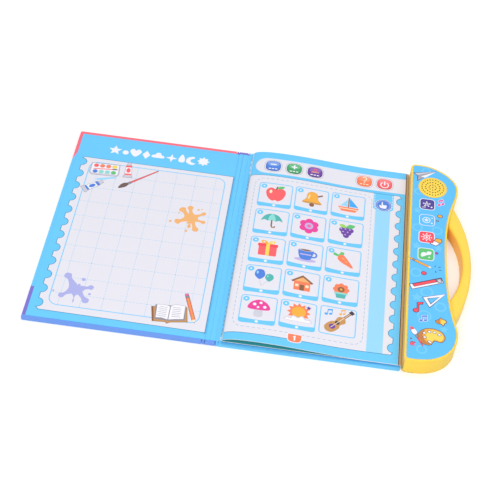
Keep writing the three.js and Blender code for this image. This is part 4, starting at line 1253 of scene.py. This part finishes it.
# Each key: its middle, its ink and its symbol.
KEYS = (
    (20.2, "blue", drawn("white", minus)),
    (41.4, "green", drawn("white", minus, upright)),
    (62.5, "purple", tune),
    (112.9, "orange", drawn("cream", stroke(hook, 1.1), disc(0, -3.2, 0.75))),
    (133.4, "red", drawn("white", open_ring, rounded(-0.5, 0.5, -1.6, 3.2, 0.3))),
)
KEY_SHIFT = 0.7
SHADES = {
    "blue": "3A63B8", "green": "2C7F50", "purple": "4E2A80", "orange": "E9714B", "red": "D94A55",
}
TINTS = {
    "blue": "7FA5E8", "green": "6DBB87", "purple": "8D66BA", "orange": "FB9A78", "red": "FA8287",
}
for x, ink, symbol in KEYS:
    # The red key has a large symbol in its middle, the others a small one over three bars.
    alone = ink == "red"
    key = drawn("grey", squircle(0, 0, 8.9, 8.6, 2.7), "white", squircle(0, 0, 8.4, 8.1, 2.7))
    key += drawn(SHADES[ink], squircle(0, 0, 7.7, 7.4, 2.7), ink, squircle(0, 0.7, 7.2, 6.4, 2.6))
    key += drawn(TINTS[ink], squircle(0, 3.4, 5.8, 3.4, 2.4))
    key += moved(symbol, 0, 0.4, 1.2) if alone else moved(symbol, 0, 2.4, 1.05)
    if not alone:
        bar_ink = "cream" if ink == "orange" else "white"
        key += [(bar_ink, [dash]) for dash in dashes([(-4.8, -4), (4.8, -4)], 2.3, 0.6, 1.2)]
    page += [(3, moved(key, x + KEY_SHIFT, STRIP_MIDDLE))]

COLUMNS = ((10.3, 43.7, -1.0), (46.5, 79.8, -0.1), (82.7, 116.3, 1.1))
ROWS = ((46.4, 79.5), (9.2, 42.4), (-28.0, 5.2), (-65.2, -32.0), (-102.0, -69.1))
CARD_CORNER, CARD_LINE, BAR_HEIGHT, BAR_SAG, MARK = 3.0, 0.95, 5.9, 5.6, 4.8


def card(x0, x1, y0, y1, picture, bar):
    """A card: an outline, a round mark, a bar whose top sags, and a picture in what is left.

    The bar's top is y0 + BAR_HEIGHT - BAR_SAG * t * (1 - t), with t from 0 to 1 across it.
    """
    line = frame_line(x0, x1, y0, y1, CARD_CORNER, CARD_LINE)
    made = drawn("paper", rounded(x0, x1, y0, y1, CARD_CORNER - 0.2), "sky", line)
    middle, across = (y0 + y1) / 2, (x0 + x1) / 2
    if bar:
        t = np.linspace(0, 1, 9)
        top = y0 + BAR_HEIGHT - BAR_SAG * t * (1 - t)
        sag = np.stack((x0 + 0.3 + (x1 - x0 - 0.6) * t, top), 1)
        foot = rounded(x0 + 0.1, x1 - 0.1, y0 + 0.1, y0 + 12, 2.6)
        lower_corners = foot[len(foot) // 2 :][::-1]
        made += drawn("sky", np.concatenate((sag, lower_corners)))
        made += drawn("white", disc(across, y0 + 2.5, 1.5, 1.3))
        mark = (x0 + MARK, y1 - MARK)
        made += drawn("sky", disc(*mark, 2.9), "white", disc(*mark, 0.9))
        middle += 1.8
    return made + moved(picture, across + 0.4, middle, 1.16 if bar else 1.45)


for k, picture in enumerate(PICTURES.values()):
    x0, x1, rise = COLUMNS[k % len(COLUMNS)]
    y0, y1 = ROWS[k // len(COLUMNS)]
    # The last card has no bar.
    page += [(3, card(x0, x1, y0 + rise, y1 + rise, picture, k < len(PICTURES) - 1))]
page_inks = ["page_panel_print", "page_header_print"]
printed("page_print", page, "base", "white_print", 0.0, leaf_height, LEAF_CUTS, page_inks)
# What shows of the leaf below: its own print under the arch, and at the console
# the dark gap and the light that the wall throws on it, both painted in.
below = -PAGE_HEAD + 0.3, PAGE_HEAD - 0.3
wall = rounded(PAGE_RIGHT + 0.9, PAGE_RIGHT + 2.8, -PAGE_HEAD + 0.4, PAGE_HEAD - 0.4, 0.5)
under_leaf = drawn(
    "deep", rounded(PAGE_LEFT + 0.2, 140, *below, 0.5),
    "gutter", rounded(150, PAGE_RIGHT + 2.9, *below, 0.5),
    "wall_foot", wall,
)
printed("page_below_print", [(0, under_leaf)], "base", "white_print", LOWER_PRINT)

# %% [markdown]
# ## The console's label
# A printed film is set into the console's top. The CAD label takes one ink
# all over, and its badges and small pictures lie on it, as print does, over
# paler rings and stars. The grille's holes look dark on the real book, from
# the shade inside them and the dark speaker behind. So small a hole shows no
# depth in the picture, so a dark plug painted with that shade stands in each
# one. It is 0.1 mm wider than the hole all round and 0.015 mm higher than the
# grille, and so it covers the hole.
# %% Console label
# The label's pictures are drawn from its left side and have edges EDGE wide.
LABEL_TOP, CONSOLE_LEFT = 17.75, 159.65
EDGE = 0.62
SPEAKER_MIDDLE, HOLE_PITCH, HOLE_RINGS = (180.55, 94.6), 3.6, (1, 8, 16, 24)
PLUG_RADIUS, PLUG_CORNERS, PLUG_FOOT, PLUG_TOP = 0.72, 8, 16.6, 18.215


def inked(piece, ink):
    """Gives every corner of a piece's mesh the same ink."""
    colours = piece.data.attributes.new("ink", "FLOAT_COLOR", "CORNER")
    values = np.tile(linear(INKS[ink]), len(colours.data)).astype(np.float32)
    colours.data.foreach_set("color", values)


inked(dressed("console_label"), "label")
plane = drawn(
    "dark", grown(shape(2.4, 112.8, 24.4, 118.8, 5.6, 102.6, 6.2, 109.4), 0.8),
    "silver", shape(2.4, 112.8, 24.4, 118.8, 6.2, 109.4),
    "grey", shape(6.2, 109.4, 24.4, 118.8, 5.6, 102.6),
    "white", shape(8.8, 109.0, 24.4, 118.8, 13.2, 107.8),
    "slate", stroke([(5.4, 109.8), (15, 114.2), (24.2, 118.7)], 0.9, 0.5),
)
badge_pictures = (
    moved(petals("white", 5, 3.0, 0.8), -0.6, 0)
    + ring_of("white", -0.6, 0, 1.7, 0.7)
    + drawn("white", disc(4.2, -3.6, 0.9), stroke([(-5, -4.6), (-1.6, -4.4)], 0.7)),
    drawn(
        "white", [disc(-0.6, 0, 3.9), disc(-0.6, 0, 3.2)], star(-0.6, 0, 2.6, 1.1),
        disc(4.6, -3.6, 0.8), disc(4.8, 3.4, 0.7),
    ),
    petals("white", 8, 4.6, 0.7)
    + ring_of("white", 0, 0, 3.1, 0.8)
    + drawn("white", disc(0, 0, 1.1)),
    drawn(
        "white", smooth(-4.6, -3, -4, 1.4, -0.6, 2.2, 0.2, -1),
        smooth(0.6, -0.6, 1, 3.4, 4.8, 3.8, 4.4, 0.4),
        stroke([(-4.4, -4), (-0.4, -1.6), (3.4, 2)], 0.6), disc(3, -3.6, 0.8),
    ),
)
BADGES = (
    (16.0, 70.2, 6.9, "violet"), (16.1, 48.3, 7.6, "label"),
    (16.1, 25.2, 7.0, "coral"), (15.9, 2.8, 7.2, "leaf"),
)


def tile(half, corner):
    """A square with rounded corners round the middle."""
    return rounded(-half, half, -half, half, corner)


label = [(0, plane)]
for (x, y, half, ink), picture in zip(BADGES, badge_pictures):
    back = drawn("white", tile(half + 0.7, 3.6), ink, tile(half, 3.0))
    if ink == "label":
        back = drawn("white", tile(half, 3.8), "azure", tile(half - 0.6, 3.3))
        back += drawn("label", tile(half - 1, 3.0))
    label += [(1, moved(back + picture, x, y))]
palette = edged(
    "gold", smooth(
        -10.6, -3.4, -11, 2.6, -6, 8, 2, 9.4, 9.4, 6.4, 12, 0.4, 9, -4.6, 3.4, -3.6, 1, -6.4, -1,
        -9, -7, -8.4,
    ),
    EDGE,
)
palette += drawn(
    "tan", smooth(-10.4, -3.2, -10.8, 2.4, -6, 7.6, -7.6, 0, -4.6, -5.6, -0.8, -8.6, -6.8, -8.2),
    "yellow", smooth(-3, -5.2, -4.6, 3, 1, 7.8, 8.6, 5.6, 10.6, 0.4, 8.2, -3.4, 3, -2.4, 0.2, -5.4),
)
for x, y in ((-6.2, 3.6), (-1.8, 5.6), (2.8, 5.6), (7.2, 3.6), (-5.8, -1.2)):
    palette += drawn("dark", disc(x, y, 1.75, 1.45), "white", disc(x, y, 1.3, 1.0))
palette += moved(
    drawn("dark", disc(0, 0, 2.6, 1.3), "white", disc(0, 0, 2.1, 0.85)), -1.2, -6.2, 1, -32,
)
ruler = edged("white", shape(-15.6, -2.8, 15.6, -2.8, 15.6, 2.8, -15.6, 2.8), EDGE)
ruler += drawn(
    "dark", shape(-12.8, -0.9, 15.6, -0.9, 15.6, 2.8, -13.4, 2.8),
    "coral", shape(-12.2, -0.4, 9.6, -0.4, 9.6, 2.4, -12.8, 2.4),
    "slate", shape(10.4, -2.4, 15.2, -2.4, 15.2, 2.4, 10.4, 2.4),
    "silver", shape(11.6, -1.6, 14.2, -1.6, 14.2, 1.4, 11.6, 1.4),
)
SQUARE = shape(14.2, -51.6, 34.8, -44.2, 20.4, -62.4)
SQUARE_HOLE = shape(18.8, -52.6, 28.8, -49.0, 21.4, -57.8)
burst = edged(
    "gold", smooth(
        4.8, 2.6, 2.4, 3, 0.4, 4.8, -1.2, 2.8, -4.6, 0.4, -2.4, -2.2, 1, -2.4, 2.8, -4.4, 3.6, -1.6,
        5.4, 0,
    ),
    EDGE,
)
burst += drawn(
    "tan", smooth(0.2, 4.2, -1.2, 2.4, -4.2, 0.4, -2.2, -1.8, 0.4, -2.2, -0.8, 0.4),
    "yellow", smooth(4.2, 2.2, 1.4, 2.4, 0.6, -1.4, 2.8, -3.2, 3.2, -1.2, 4.6, 0.2),
)
rubber = edged("white", shape(-5.4, -2.6, -0.4, -4.6, 3.4, -1, -1.6, 1.6), EDGE)
rubber += edged("gold", shape(-1.8, 2, 3.6, -0.8, 5.2, 1.6, 4.6, 4.4, 0.2, 4.8), EDGE)
square = [("dark", [grown(SQUARE, EDGE), SQUARE_HOLE])]
square += [("white", [SQUARE, grown(SQUARE_HOLE, EDGE)])]
wet_brush = brush(22, "coral", "white")
wet_brush += drawn(
    "coral", smooth(-13.6, -0.3, -11.4, 1.5, -9.6, 1.8, -10, 0, -9.6, -1.6, -11.4, -1.4),
)
splash = [(35, 3.2, 2.2), (110, 2.8, 2.2), (175, 3.0, 2.2), (240, 2.8, 2.2), (310, 3.2, 2.2)]
splash = edged("coral", splat(0, 0, 1.5, splash), EDGE)
small_pictures = [
    moved(note("magenta", True, "white"), 28.0, 74.2, 0.88, 18),
    moved(edged("gold", disc(0, 0, 2.1, 1.7), EDGE), 28.6, 55.8),
    moved(edged("gold", disc(0, 0, 0.7), EDGE), 26.2, 49.1),
    moved(rubber, 25.4, 20.2),
    moved(edged("magenta", disc(0, 0, 0.9), EDGE), 26.0, 5.8),
    moved(pencil(22.4, "gold", 2.2, "gold"), 12.4, -9.8, 1, -25),
    moved(edged("coral", disc(0, 0, 2.1, 1.8), EDGE), 14.4, -21.6),
    moved(ruler, 17.2, -34.0, 1, 24),
    square,
    moved(note("coral", False, "dark"), 10.0, -64.0, 1.35, 4),
    moved(note("blue", True, "white"), 14.2, -76.8, 0.88, 2),
    moved(burst, 30.4, -78.2, 0.95),
    moved(wet_brush, 10.2, -99.2, 0.95, -61.5),
    moved(splash, 6.0, -107.4, 0.85),
    moved(edged("coral", disc(0, 0, 0.45), 0.45), 4.6, -101.6),
    moved(palette, 22.4, -97.0),
]
label += [(1, picture) for picture in small_pictures]
# Four short lines by the pencil's point.
mark = drawn("dark", stroke([(-1.3, 0), (1.3, 0)], 0.65))
for x, y, angle in ((24.6, -11.4, 80), (28.8, -11.6, 25), (29.4, -15.4, -12), (25.4, -18.2, 100)):
    label += [(1, moved(mark, x, y, 1, angle))]
# Rings and stars behind the pictures: place, radius and a ring's inner radius.
GHOSTS = (
    (14.0, 118.0, 4.6, 3.0), (7.4, 87.0, 4.8, 3.2), (6.6, 60, 4.2, 0), (7.0, 36.8, 5.2, 3.5),
    (26.0, 35.6, 5.4, 3.7), (27.4, 12.4, 4.6, 0), (6.8, 12.4, 5.0, 0), (7.0, -22, 5.6, 3.8),
    (29.6, -28.4, 4.8, 0), (17.6, -44.4, 6.2, 4.3), (8.6, -52.4, 5.4, 0), (30.2, -60.6, 5.6, 3.8),
    (15.8, -73.4, 6.6, 4.8), (33.6, -86.6, 4.2, 0), (14.2, -112.4, 5.0, 3.4), (29.2, 81.4, 3.6, 0),
)
for x, y, r, hole in GHOSTS:
    ghost = [disc(x, y, r), disc(x, y, hole)] if hole else star(x, y, r, r * 0.5)
    label += [(0, drawn("ghost", ghost))]
label = [(start, moved(figure, CONSOLE_LEFT, 0)) for start, figure in label]
printed("label_print", label, "base", "label", LABEL_TOP)

points, faces = [], []
for ring, count in enumerate(HOLE_RINGS):
    for angle in 2 * np.pi * np.arange(count) / count:
        way = np.array((math.cos(angle), math.sin(angle)))
        middle = np.array(SPEAKER_MIDDLE) + ring * HOLE_PITCH * way
        p, f = prism([disc(*middle, PLUG_RADIUS, n=PLUG_CORNERS)], PLUG_FOOT, PLUG_TOP)
        faces += [[i + 2 * PLUG_CORNERS * len(points) for i in face] for face in f]
        points.append(p)
shade_plug_mesh = mesh_from("grille_holes_painted_shade", np.concatenate(points), faces)
link_piece(shade_plug_mesh, "grille_holes_painted_shade", "base", [HOLE_SHADE_PLUGS])
print("plugs over the grille's holes:", len(points))

# %% [markdown]
# ## Stitches
# The leaves are sewn through the fold. A row of short stitches runs down the
# gutter, and loose ends of thread lie at its head and foot. The stitches'
# dark blue is painted shade: thread sunk in its needle holes. Thread could be
# a curve with a round profile, but at this size a rounded bar looks the same
# and has fewer faces. The stitches are a little uneven, by slow waves.
# %% Stitches
THREAD_DEPTH, STITCH_HALF, LOOSE_HALF = 0.4, 0.2, 0.3


def bars(name, places, half_width, rise, material):
    """Rounded bars along y, given as (x, middle y, half length), as one piece on the base.

    Each reaches from THREAD_DEPTH under the lining's top to rise above it.
    """
    points, faces = [], []
    for x, y, half in places:
        corner = half_width * 0.9
        bar = rounded(x - half_width, x + half_width, y - half, y + half, corner, 4)
        p, f = prism([bar], LINING_TOP - THREAD_DEPTH, LINING_TOP + rise)
        faces += [[i + sum(map(len, points)) for i in face] for face in f]
        points.append(p)
    mesh = mesh_from(name, np.concatenate(points), faces)
    return link_piece(mesh, name, "base", [material])


k = np.arange(40)
STITCHES = np.stack((
    -1.75 + 0.12 * np.sin(3 * k), -114 + 5.2 * k, 1.1 + 0.5 * np.sin(5 * k) ** 2
), 1)
bars("gutter_stitches", STITCHES, STITCH_HALF, 0.14, STITCH_SHADE_THREAD)
LOOSE_ENDS = [(-1.8, 104.5, 2.4), (-1.9, 112.0, 1.8), (-1.7, 97.4, 1.5), (-2.0, -119.4, 1.9)]
bars("loose_thread_ends", LOOSE_ENDS, LOOSE_HALF, 0.25, LOOSE_THREAD)
print("stitches done")
